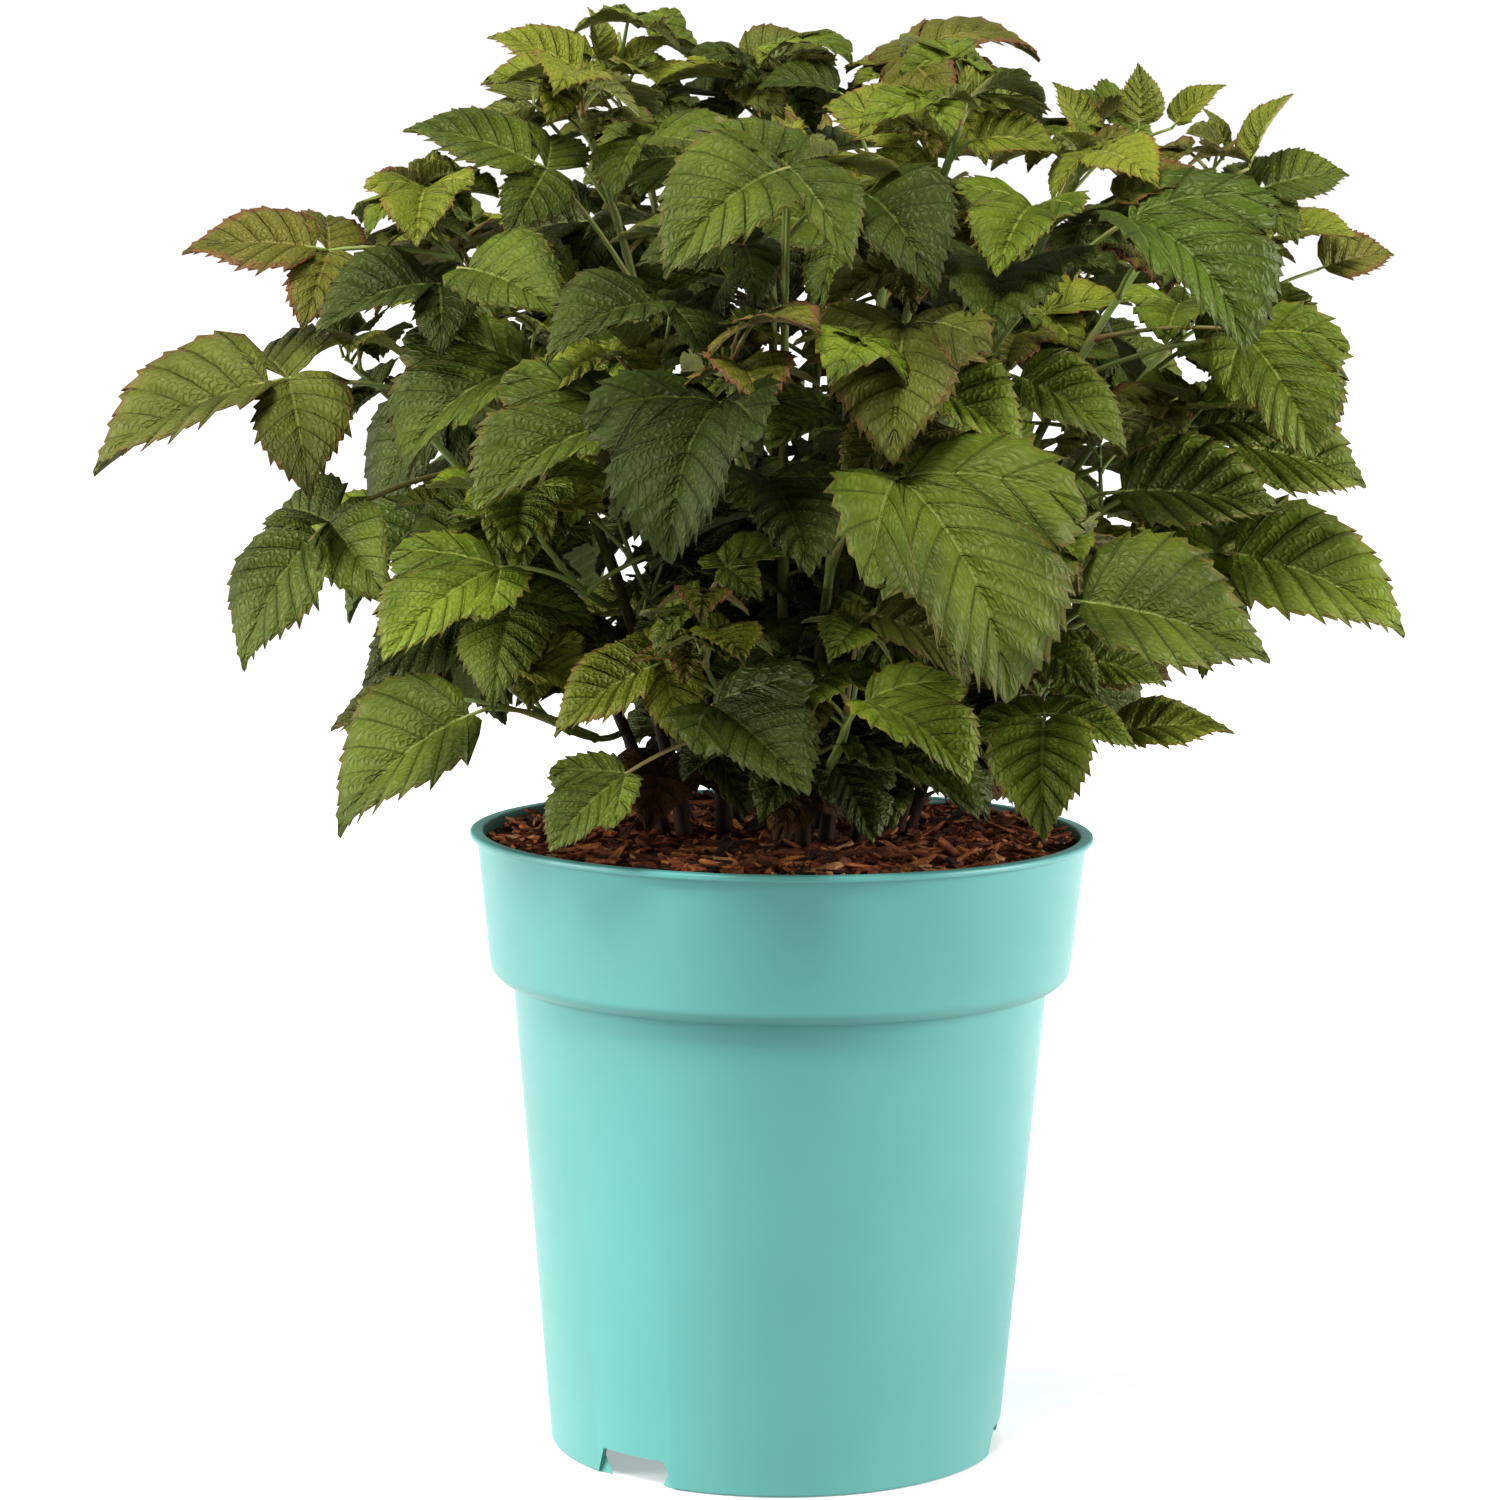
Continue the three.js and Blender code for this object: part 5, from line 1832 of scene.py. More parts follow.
@dataclass
class Foliage:
    """Lays patterns on blades: folded on the rib, curled at the margin, waved and twisted.

    Folds and curls are rises as shares of the way out from the rib, and twists are in degrees.
    """

    variants: int = 4
    end_inset: float = 0.09
    twist: float = 9.0
    fold: float = 0.36
    lobed_fold: float = 0.5
    fold_stray: float = 0.14
    curl: float = 0.17
    curl_stray: float = 0.1
    wave: float = 0.03
    wave_rate: float = 9.0
    wave_shift: float = 2.1
    shut_fold: float = 1.1
    shut_relief: float = 0.5
    shut_width: float = 0.75
    least_width: float = 0.05
    cutter: BladeCutter = BladeCutter()
    small_cutter: BladeCutter = BladeCutter(
        columns=(0.0, 0.03, 0.45, 1.0), base_rows=2, relief=0.034, tooth=0.042,
        teeth=((0.0, 1.0), (0.2, -0.3), (0.55, 0.45)), last_teeth=((0.0, 1.0), (0.4, -0.2)))
    patterns: dict[tuple, Pattern] = field(default_factory=dict)

    def pattern(self, form: BladeForm, small: bool, variant: int) -> Pattern:
        """The pattern of a form, a size and a variant, cut once.

        Args:
            form: the form.
            small: whether it is a small leaf's.
            variant: which of them.

        Returns:
            The pattern.
        """
        key = (form, small, variant % self.variants)
        if key not in self.patterns:
            cutter = self.small_cutter if small else self.cutter
            self.patterns[key] = cutter.cut(form, 31 * list(BladeForm).index(form) + key[2])
        return self.patterns[key]

    def rise(self, blade: Blade, a: Array, b: Array, keys: tuple[int, int, int],
             shut: float) -> Array:
        """How far points stand over a blade's middle for its fold, its curl and its waves.

        Args:
            blade: the blade.
            a: how far along it they are.
            b: how far across it they are.
            keys: whole numbers that its chances are drawn by.
            shut: how far its halves are folded together, 0 to 1.

        Returns:
            The rise of each point. All are shares of the blade's length.
        """
        seed, index, which = keys
        widest = np.abs(b).max()
        share = np.abs(b) / widest
        fold = self.lobed_fold if blade.form is BladeForm.LOBED else self.fold
        fold += sway(seed, index, Draw.FOLD + which, self.fold_stray) + self.shut_fold * shut
        curl = self.curl + sway(seed, index, Draw.CURL + which, self.curl_stray)
        rise = fold * np.abs(b) - curl * b * b / widest
        start = 2 * math.pi * chance(seed, index, Draw.WAVE + which)
        waves = np.sin(start + self.wave_rate * a + (b > 0) * self.wave_shift)
        return rise + self.wave * share ** 2 * waves

    def lay(self, blade: Blade, tone: Tone, keys: tuple[int, int, int], skin: Skin,
            small: bool = False, shut: float = 0.0) -> None:
        """Bends a pattern into a blade's place and adds it to a skin.

        Args:
            blade: the blade.
            tone: its tone.
            keys: whole numbers that its chances are drawn by.
            skin: what it is added to.
            small: whether it has the small leaves' plainer pattern.
            shut: how far its halves are folded together, 0 to 1.
        """
        seed, index, which = keys
        form = BladeForm.SMALL if small and blade.form is not BladeForm.LOBED else blade.form
        variant = int(chance(seed, index, Draw.PATTERN + which) * self.variants)
        pattern = self.pattern(form, small, variant)
        scale, turn = blade.length, blade.hand or 1
        inset = self.end_inset if form is BladeForm.END else 0.0
        a, b = inset + (1 - inset) * pattern.points[:, 0], pattern.points[:, 1] * turn
        twist = rad(sway(seed, index, Draw.TWIST + which, self.twist)) * a
        middle, across, up = blade.bent(a, twist)
        narrowing = math.sqrt(max(self.least_width, 1 - (self.shut_width * shut) ** 2))
        relief = pattern.lift * (1 + self.shut_relief * shut)
        top = middle + across * (b * scale * narrowing)[:, None]
        top += up * ((self.rise(blade, a, b, keys, shut) + relief) * scale)[:, None]
        low = top - up * (pattern.thick * scale)[:, None]
        quilt = pattern.quilt * (scale, 1, 1)
        slot = 2 * list(Tone).index(tone) + pattern.under
        skin.add(np.concatenate([top, low]), pattern.faces[:, ::turn], slot, ~pattern.rim,
                 quilt[:, ::turn])


@dataclass
class Thicket:
    """What stands already, so that finer leaves can be kept clear of it."""

    lows: list[Array] = field(default_factory=list)
    highs: list[Array] = field(default_factory=list)
    trees: list[BVHTree] = field(default_factory=list)

    def stand(self, points: Array, faces: Array) -> None:
        """Adds a body.

        Args:
            points: its points.
            faces: its triangles.
        """
        self.lows.append(points.min(0))
        self.highs.append(points.max(0))
        self.trees.append(BVHTree.FromPolygons(points.tolist(), faces.tolist()))

    def is_clear(self, points: Array, faces: Array) -> bool:
        """Whether a body touches nothing that stands.

        Args:
            points: its points.
            faces: its triangles.

        Returns:
            Whether it is clear.
        """
        near = (np.array(self.lows) <= points.max(0)).all(1)
        near &= (np.array(self.highs) >= points.min(0)).all(1)
        if not near.any():
            return True
        tree = BVHTree.FromPolygons(points.tolist(), faces.tolist())
        return not any(tree.overlap(self.trees[i]) for i in np.flatnonzero(near))


@dataclass(frozen=True)
class SmallRule:
    """How a small leaf is held that only grows here. Pairs are the least and what chance adds."""

    attempts: int = 8
    turn: float = 31.0
    shrink: float = 0.05
    stalk: Pair = (0.3, 0.25)
    nod: Pair = (22.0, 25.0)
    roll: float = 16.0
    facing: float = 20.0
    bend: float = 38.0
    bend_stray: float = 14.0
    lobed_share: float = 0.3


@dataclass(frozen=True)
class EndSprig:
    """The youngest leaves, close together at the end of a shoot. Pairs are of first and last."""

    first_key: int = 100
    leaves: int = 5
    gap: float = 1.6
    length: Pair = (31.0, 13.0)
    rise: Pair = (38.0, 72.0)
    scale: Pair = (0.9, 0.3)


@dataclass(frozen=True)
class SideSprig:
    """A short twig with small leaves. Pairs are the least and what chance adds."""

    first_key: int = 200
    keys_each: int = 4
    leaves: int = 3
    back_share: float = 0.6
    front_share: float = 0.3
    ahead: float = 0.8
    lift: float = 0.35
    length: Pair = (12.0, 16.0)
    size: Pair = (27.0, 17.0)
    size_step: float = 4.0
    turn: float = 110.0
    first_at: float = 0.6
    step: float = 0.2
    rise: float = 34.0
    rise_step: float = 12.0
    age: float = 0.9
    radius: Pair = (1.0, 0.6)


@dataclass(frozen=True)
class FootLeaves:
    """Shaded leaves on a cane's bare part: a skirt over the soil, and others in a band above it.

    Pairs named low and high are the span of the cane that they stand on.
    """

    first_key: int = 300
    skirt: int = 7
    above: int = 7
    low: Pair = (0.09, 0.2)
    high: Pair = (0.3, 0.86)
    front: float = -90.0
    turn: float = 85.0
    sizes: Pair = (38.0, 48.0)
    size_stray: float = 9.0
    rises: Pair = (6.0, 20.0)
    rise_stray: float = 9.0
    age: float = 0.3
    middle: float = 14.0
    half_width: float = 58.0


@dataclass
class Bush:
    """The whole growth: canes, shoots, their leaves as the solids hold them, and finer ones."""

    thicket: Thicket = field(default_factory=Thicket)
    shoots: list[Shoot] = field(default_factory=list)
    leaves: list[tuple[Shoot, Leaf]] = field(default_factory=list)
    sprigs: list[tuple[Shoot, Leaf]] = field(default_factory=list)
    twigs: list[Curve] = field(default_factory=list)
    small: SmallRule = SmallRule()
    end: EndSprig = EndSprig()
    side: SideSprig = SideSprig()
    foot: FootLeaves = FootLeaves()
    tip_clearance: float = 0.1
    stem_guard: float = 1.4
    cane_guard: float = 2.6
    box_margin: float = 1.0
    lowest_over_pot: float = 233.0
    pot_margin: float = 3.0
    squeezed: float = 0.72
    squeeze_step: float = 0.02

    def plant(self) -> None:
        """Stands the canes and their side shoots."""
        for plan in CANES:
            self.shoots.append(Shoot(plan, CANE_RULE.cane_curve(plan), plan.bare,
                                     len(self.shoots), CANE_RULE.cane_radius))
        canes = {shoot.plan.name: shoot for shoot in self.shoots}
        for plan in SIDES:
            curve = CANE_RULE.side_curve(plan, canes[plan.origin])
            self.shoots.append(Shoot(plan, curve, CANE_RULE.side_bare, len(self.shoots),
                                     CANE_RULE.side_radius))

    def held_pose(self, root: Array, held: Held) -> Pose:
        """How a blade hangs from its hub for its tip to meet a place.

        Args:
            root: where the stalk leaves the stem.
            held: the hub, the tip and the form.

        Returns:
            The pose, bent by as much as the blade falls below its stalk.
        """
        hub, tip = np.array(held.hub, dtype=float), np.array(held.tip, dtype=float)
        stalk, run = hub - root, tip - hub
        chord = float(np.linalg.norm(run))
        fall = math.degrees(math.asin(run[2] / chord))
        rise = math.degrees(math.asin(stalk[2] / np.linalg.norm(stalk)))
        bend = min(RULE.most_bend, max(RULE.least_bend, rise - fall))
        arc = rad(bend / 2) / math.sin(rad(bend / 2))
        return Pose(chord * arc, bend, math.degrees(math.atan2(run[1], run[0])), fall + bend / 2)

    def free_pose(self, shoot: Shoot, index: int, share: float) -> Pose:
        """How a leaf is held by the rule of its place on the stem.

        Args:
            shoot: the shoot that bears it.
            index: its number from the lowest.
            share: its share of the way to the highest.

        Returns:
            The pose.
        """
        seed, plan = shoot.seed, shoot.plan
        full = plan.leaf * (1 - RULE.taper * share ** RULE.taper_power)
        length = full * (1 + sway(seed, index, Draw.LENGTH, STRAY.length))
        spiral = (plan.first + index * RULE.divergence
                  + sway(seed, index, Draw.HEADING, STRAY.heading))
        return Pose(
            length,
            RULE.bend + sway(seed, index, Draw.BEND, STRAY.bend),
            shoot.outward + turn_between(spiral, shoot.outward) * shoot.fan,
            lerp(*RULE.pitch, share) - plan.droop + sway(seed, index, Draw.PITCH, STRAY.pitch),
            reach=length * RULE.petiole * (1 + sway(seed, index, Draw.STALK, STRAY.stalk)),
            rise=lerp(*RULE.rise, share) + sway(seed, index, Draw.RISE, STRAY.rise))

    def leaf_at(self, shoot: Shoot, index: int, attempt: int) -> Leaf:
        """A leaf of the plan at one of the ways to hold it.

        Args:
            shoot: the shoot that bears it.
            index: its number from the lowest.
            attempt: which way, 0 for the plan itself.

        Returns:
            The leaf.
        """
        seed, plan = shoot.seed, shoot.plan
        share = index / (plan.leaves - 1)
        root = shoot.curve.point(shoot.stand(share))
        held = plan.held.get(index)
        pose = self.held_pose(root, held) if held else self.free_pose(shoot, index, share)
        shrink = 1 - NUDGE.shrink * attempt
        lift = sway(seed, index, Draw.LIFT + attempt, NUDGE.lift) if attempt else 0.0
        heading = pose.heading + NUDGE.turn * alternate(attempt)
        pitch, length = pose.pitch + lift, pose.length * shrink
        if held:
            form, hub = held.form, np.array(held.hub, dtype=float)
            length /= RULE.lobed_length if form is LeafForm.LOBED else 1
        else:
            lobed = chance(seed, index, Draw.LOBED) < RULE.lobed_share
            form = LeafForm.LOBED if lobed else LeafForm.THREE
            rise = pose.rise + lift / 2
            pitch = max(pitch, rise - RULE.nod)
            hub = root + Hold.at(heading, rise, 0).along * pose.reach * shrink
        roll = sway(seed, index, Draw.ROLL, STRAY.roll) + RULE.facing * math.cos(rad(heading))
        hold = Hold.at(heading, pitch, roll)
        blades = self.blades(hold, hub, length, form, pose.bend, (seed, index))
        return Leaf(root, hub, blades, (seed, index), share)

    def blades(self, hold: Hold, hub: Array, length: float, form: LeafForm, bend: float,
               keys: tuple[int, int]) -> tuple[Blade, ...]:
        """A leaf's one lobed or plain blade, or its end leaflet and its two side leaflets.

        Args:
            hold: the first blade's hold.
            hub: where the blades meet.
            length: the length that the blades are measured by.
            form: its form.
            bend: the first blade's bend in degrees.
            keys: whole numbers that its chances are drawn by.

        Returns:
            The blades.
        """
        if form is LeafForm.LOBED:
            return (Blade(BladeForm.LOBED, 0, hub, hold, RULE.lobed_length * length,
                          length * RULE.lobed_width, bend),)
        made = [Blade(BladeForm.END, 0, hub, hold, length, length * RULE.width, bend)]
        for hand in (-1, 1) if form is LeafForm.THREE else ():
            out = RULE.side_angle + sway(*keys, Draw.SIDE_ANGLE + hand, STRAY.side_angle)
            side, swung = length * RULE.side_share, hold.swung(rad(-hand * out))
            bend = RULE.side_bend + sway(*keys, Draw.SIDE_BEND + hand, STRAY.side_bend)
            made.append(Blade(BladeForm.SIDE, hand, hub, swung, side, side * RULE.width, bend))
        return tuple(made)

    def find_leaves(self, shoot: Shoot) -> list[int]:
        """Finds, for each leaf of a plan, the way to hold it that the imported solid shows.

        Args:
            shoot: the shoot that bears them.

        Returns:
            The leaves that the solid doesn't have.
        """
        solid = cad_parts[f"leaves_{shoot.plan.name}"].data
        tree = KDTree(len(solid.vertices))
        for vertex in solid.vertices:
            tree.insert(vertex.co, vertex.index)
        tree.balance()
        missing = []
        for index in range(shoot.plan.leaves):
            for attempt in range(NUDGE.attempts):
                leaf = self.leaf_at(shoot, index, attempt)
                tips = [blade.midrib(1)[0] * MM for blade in leaf.blades]
                if all(tree.find(tip)[2] < self.tip_clearance * MM for tip in tips):
                    self.keep(self.leaves, shoot, leaf)
                    break
            else:
                missing.append(index)
        return missing

    def grow(self) -> None:
        """Grows the leaves of the solids, and then the finer ones where there is room."""
        missing = [(shoot, index) for shoot in self.shoots for index in self.find_leaves(shoot)]
        LOG.info("%d leaves stand as in the solids, %d places are left", len(self.leaves),
                 len(missing))
        canes = [shoot for shoot in self.shoots if not shoot.plan.origin]
        for shoot in self.shoots:
            self.thicket.stand(*shoot.guard(shoot.leafy_from, 1, self.stem_guard, 4, 4))
        for cane in canes:
            self.thicket.stand(*cane.guard(0, cane.leafy_from, self.cane_guard, 6, 5))
        for shoot, index in missing:
            self.squeeze_in(shoot, index)
        for cane in canes:
            self.foot_leaves(cane)
        for shoot in self.shoots:
            self.end_sprig(shoot)
        for shoot, leaf in list(self.leaves):
            self.side_sprig(shoot, leaf)
        LOG.info("%d leaves and %d sprig leaves in all", len(self.leaves), len(self.sprigs))

    def fits(self, leaf: Leaf) -> bool:
        """Whether a leaf stays in the solids' box and touches nothing that stands.

        Args:
            leaf: the leaf.

        Returns:
            Whether it has room.
        """
        low, high = (np.array(corner) / MM for corner in CAD_BOX)
        for blade in leaf.blades:
            points, faces = blade.guard()
            if (points < low + self.box_margin).any() or (points > high - self.box_margin).any():
                return False
            over_pot = np.hypot(points[:, 0], points[:, 1]) < Pot.lip_radius + self.pot_margin
            if (points[over_pot, 2] < self.lowest_over_pot).any():
                return False
            if not self.thicket.is_clear(points, faces):
                return False
        return True

    def keep(self, group: list[tuple[Shoot, Leaf]], shoot: Shoot, leaf: Leaf) -> None:
        """Adds a leaf to a group and stands its blades among the others.

        Args:
            group: the leaves or the sprigs.
            shoot: the shoot that bears it.
            leaf: the leaf.
        """
        group.append((shoot, leaf))
        for blade in leaf.blades:
            self.thicket.stand(*blade.guard())

    def squeeze_in(self, shoot: Shoot, index: int) -> None:
        """Grows a smaller leaf where the plan's leaf has no room.

        Args:
            shoot: the shoot that bears it.
            index: its number from the lowest.
        """
        for attempt in range(NUDGE.attempts):
            whole = self.leaf_at(shoot, index, attempt)
            share = self.squeezed - self.squeeze_step * attempt
            blades = tuple(replace(b, length=b.length * share, width=b.width * share)
                           for b in whole.blades)
            leaf = replace(whole, blades=blades)
            if self.fits(leaf):
                self.keep(self.leaves, shoot, leaf)
                return

    def small_leaf(self, root: Array, keys: tuple[int, int], heading: float, rise: float,
                   length: float, age: float) -> Leaf | None:
        """A small leaf, at the first way to hold it that has room.

        Args:
            root: where its stalk leaves the stem.
            keys: whole numbers that its chances are drawn by.
            heading: where it points.
            rise: its stalk's rise in degrees.
            length: its first blade's length.
            age: 0 for the oldest leaves, 1 and more for the youngest.

        Returns:
            The leaf, or None where there is no room.
        """
        rule = self.small
        for attempt in range(rule.attempts):
            way = heading + rule.turn * alternate(attempt)
            size = length * (1 - rule.shrink * attempt)
            stalk = size * (rule.stalk[0] + rule.stalk[1] * chance(*keys, Draw.SMALL_STALK))
            hub = root + Hold.at(way, rise, 0).along * stalk
            pitch = rise - rule.nod[0] - rule.nod[1] * chance(*keys, Draw.SMALL_NOD)
            roll = sway(*keys, Draw.SMALL_ROLL, rule.roll) + rule.facing * math.cos(rad(way))
            bend = rule.bend + sway(*keys, Draw.SMALL_BEND, rule.bend_stray)
            lobed = chance(*keys, Draw.SMALL_LOBED) < rule.lobed_share
            form = LeafForm.LOBED if lobed else LeafForm.THREE
            blades = self.blades(Hold.at(way, pitch, roll), hub, size, form, bend, keys)
            leaf = Leaf(root, hub, blades, keys, age)
            if self.fits(leaf):
                return leaf
        return None

    def end_sprig(self, shoot: Shoot) -> None:
        """Grows the youngest leaves at the end of a shoot.

        Args:
            shoot: the shoot.
        """
        rule = self.end
        tip, ahead = shoot.curve.point(1.0), shoot.curve.tangent(1.0)
        for i in range(rule.leaves):
            keys = (shoot.seed, rule.first_key + i)
            share = i / (rule.leaves - 1)
            heading = shoot.plan.first + RULE.divergence * (i + shoot.plan.leaves)
            scale = rule.scale[0] + rule.scale[1] * chance(*keys, Draw.SMALL_SIZE)
            root = tip + ahead * rule.gap * (i - 1)
            leaf = self.small_leaf(root, keys, heading, lerp(*rule.rise, share),
                                   lerp(*rule.length, share) * scale, 1.0 + i)
            if leaf:
                self.keep(self.sprigs, shoot, leaf)

    def side_sprig(self, shoot: Shoot, leaf: Leaf) -> None:
        """Grows a short twig with small leaves from the angle between a stem and a leaf's stalk.

        Args:
            shoot: the stem.
            leaf: the leaf. Not every one has a twig, and those at the back have more of them.
        """
        rule = self.side
        seed, index = leaf.keys
        share = rule.back_share if leaf.hub[1] > 0 else rule.front_share
        if index == 0 or chance(seed, index, Draw.HAS_TWIG) > share:
            return
        ahead = shoot.curve.tangent(shoot.stand(min(leaf.age, 1.0)))
        out = unit(leaf.hub - leaf.root)
        way = unit(ahead * rule.ahead + out + UP * rule.lift)
        length = rule.length[0] + rule.length[1] * chance(seed, index, Draw.TWIG_LENGTH)
        end = leaf.root + way * length
        before = len(self.sprigs)
        for i in range(rule.leaves):
            keys = (seed, rule.first_key + rule.keys_each * index + i)
            heading = math.degrees(math.atan2(way[1], way[0])) + rule.turn * (i - 1)
            size = rule.size[0] + rule.size[1] * chance(*keys, Draw.SMALL_SIZE) - rule.size_step * i
            root = lerp(leaf.root, end, rule.first_at + rule.step * i)
            made = self.small_leaf(root, keys, heading, rule.rise + rule.rise_step * i, size,
                                   rule.age)
            if made:
                self.keep(self.sprigs, shoot, made)
        if len(self.sprigs) > before:
            self.twigs.append(Curve(leaf.root, lerp(leaf.root, end, 0.5) + UP, end))

    def foot_leaves(self, cane: Shoot) -> None:
        """Grows the leaves on a cane's bare part. Those far from the middle are left out.

        Args:
            cane: the cane.
        """
        rule = self.foot
        for i in range(rule.skirt + rule.above):
            keys = (cane.seed, rule.first_key + i)
            above = i >= rule.skirt
            place = chance(*keys, Draw.SMALL_PLACE)
            if above:
                share = cane.leafy_from * lerp(*rule.high, (i - rule.skirt + place) / rule.above)
            else:
                share = lerp(*rule.low, place)
            turn = sway(*keys, Draw.SMALL_HEADING, rule.turn)
            size = rule.sizes[above] + sway(*keys, Draw.SMALL_SIZE, rule.size_stray)
            rise = rule.rises[above] + sway(*keys, Draw.SMALL_RISE, rule.rise_stray)
            leaf = self.small_leaf(cane.curve.point(share), keys,
                                   (rule.front if above else cane.outward) + turn, rise, size,
                                   rule.age)
            if leaf and abs(leaf.hub[0] - rule.middle) < rule.half_width:
                self.keep(self.leaves, cane, leaf)

    def dress(self) -> None:
        """Grows the bush and makes its pieces."""
        self.plant()
        self.grow()
        CaneSkins().dress(self)
        Stems().dress(self)
        Leafage().dress(self)


@dataclass
class CaneSkins:
    """The bare canes: fissured bark, faint ridges and rings. Rises are shares of the radius."""

    sides: int = 14
    steps: int = 56
    ridge: float = 0.05
    ridges: int = 5
    ridge_twist: float = 14.0
    ring: float = 0.09
    rings: float = 11.0
    ring_width: float = 0.12
    rough: float = 0.05
    rough_round: float = 2.0
    rough_along: float = 30.0
    rough_seed: float = 3.0

    def dress(self, bush: Bush) -> None:
        """Makes the canes' skins and hands them over.

        Args:
            bush: the bush as it has grown.
        """
        skin, nodes = Skin(), []
        for shoot in bush.shoots:
            if not shoot.plan.origin:
                nodes.append(f"cane_{shoot.plan.name}")
                skin.add(*self.cane(shoot))
        hand_over(skin.build("cane_skins", [CaneBark().material()]), "cane", nodes)

    def cane(self, shoot: Shoot) -> Shape:
        """One cane's skin.

        Args:
            shoot: the cane.

        Returns:
            Its points and triangles.
        """
        shares = np.linspace(0, shoot.plan.bare, self.steps + 1)
        angles = 2 * math.pi * np.arange(self.sides) / self.sides
        turns = self.ridges * angles[None] + self.ridge_twist * shares[:, None] + shoot.seed
        first = chance(shoot.seed, 0, Draw.CANE_RINGS)
        rings = self.ring * np.exp(-((shares * self.rings + first) % 1 / self.ring_width) ** 2)
        where = np.stack(np.broadcast_arrays(
            np.cos(angles)[None] * self.rough_round, np.sin(angles)[None] * self.rough_round,
            shares[:, None] * self.rough_along + shoot.seed * 7), -1).reshape(-1, 3)
        rough = self.rough * smooth_noise(where, 1.0, self.rough_seed)
        relief = (1 + self.ridge * np.cos(turns) + rings[:, None]
                  + rough.reshape(len(shares), self.sides))
        radii = shoot.slim_radii(shares)[:, None] * relief
        return tube(shoot.curve.places(shares), radii, self.sides)


@dataclass
class Stems:
    """The leafy stems, the twigs and the leaf stalks, gathered by the side of the bush."""

    stem_rings: int = 70
    stem_sides: int = 10
    swell: float = 0.35
    swell_length: float = 0.012
    stalk_rings: int = 8
    stalk_sides: int = 7
    arch: float = 0.05
    clasp: float = 0.7
    clasp_length: float = 0.07
    stalk_radius: Pair = (0.55, 1.2)
    full_blade: float = 75.0
    stalk_taper: float = 0.72
    blush_share: float = 0.3
    petiolule: tuple[Pair, ...] = ((0.0, 1.0), (0.05, 0.95), (0.1, 0.85), (0.15, 0.5))
    twig_rings: int = 7
    twig_sides: int = 6

    def stem(self, shoot: Shoot) -> Shape:
        """A leafy stem with a swelling at each leaf.

        Args:
            shoot: the shoot that it belongs to.

        Returns:
            Its points and triangles.
        """
        start = 0.0 if shoot.plan.origin else shoot.leafy_from
        shares = np.linspace(start, 1.0, self.stem_rings)
        radii = shoot.slim_radii(shares)
        for index in range(shoot.plan.leaves):
            at = shoot.stand(index / (shoot.plan.leaves - 1))
            radii = radii + self.swell * np.exp(-((shares - at) / self.swell_length) ** 2)
        return tube(shoot.curve.places(shares), radii, self.stem_sides)

    def stalk(self, leaf: Leaf, base: float) -> Shape:
        """A leaf's stalk: slightly arched, thicker where it clasps the stem.

        Args:
            leaf: the leaf.
            base: the stalk's radius where it leaves the stem.

        Returns:
            Its points and triangles.
        """
        steps, run = np.linspace(0, 1, self.stalk_rings), leaf.hub - leaf.root
        arch = UP * self.arch * np.linalg.norm(run)
        centres = leaf.root + run * steps[:, None] + arch * (4 * steps * (1 - steps))[:, None]
        clasp = self.clasp * base * np.exp(-(steps / self.clasp_length) ** 2)
        radii = lerp(base, self.stalk_taper * base, steps) + clasp
        return tube(centres, radii, self.stalk_sides)

    def end_stalk(self, blade: Blade, radius: float) -> Shape:
        """The short stalk from the side leaflets to the end leaflet."""
        centres = np.array([blade.midrib(share)[0] for share, _ in self.petiolule])
        return tube(centres, np.array([width for _, width in self.petiolule]) * radius, 6)

    def dress(self, bush: Bush) -> None:
        """Makes the stems, the twigs and the stalks and hands them over.

        Args:
            bush: the bush as it has grown.
        """
        skins = (Skin(), Skin())
        for shoot in bush.shoots:
            skins[shoot.plan.tip[0] >= 0].add(*self.stem(shoot), 0)
        for shoot, leaf in bush.leaves + bush.sprigs:
            skin = skins[shoot.plan.tip[0] >= 0]
            first = leaf.blades[0]
            base = lerp(*self.stalk_radius, min(1.0, first.length / self.full_blade))
            slot = 2 if chance(*leaf.keys, Draw.BLUSH) < self.blush_share else 1
            skin.add(*self.stalk(leaf, base), slot)
            if first.form is BladeForm.END and leaf.keys[1] < bush.end.first_key:
                skin.add(*self.end_stalk(first, self.stalk_taper * base), slot)
        radii = np.linspace(*bush.side.radius, self.twig_rings)
        for twig in bush.twigs:
            centres = twig.places(np.linspace(0, 1, self.twig_rings))
            skins[twig.start[0] >= 0].add(*tube(centres, radii, self.twig_sides), 0)
        finishes = [
            GreenStem("stem_green", "#74883d", "#8a8242").material(),
            GreenStem("stalk_green", "#8b9f4c", "#a08a4c").material(),
            GreenStem("stalk_blush", "#8f8547", "#95603c").material(),
        ]
        for name, skin in zip(("left", "right"), skins):
            hand_over(skin.build(f"twigs_{name}", finishes), "cane")


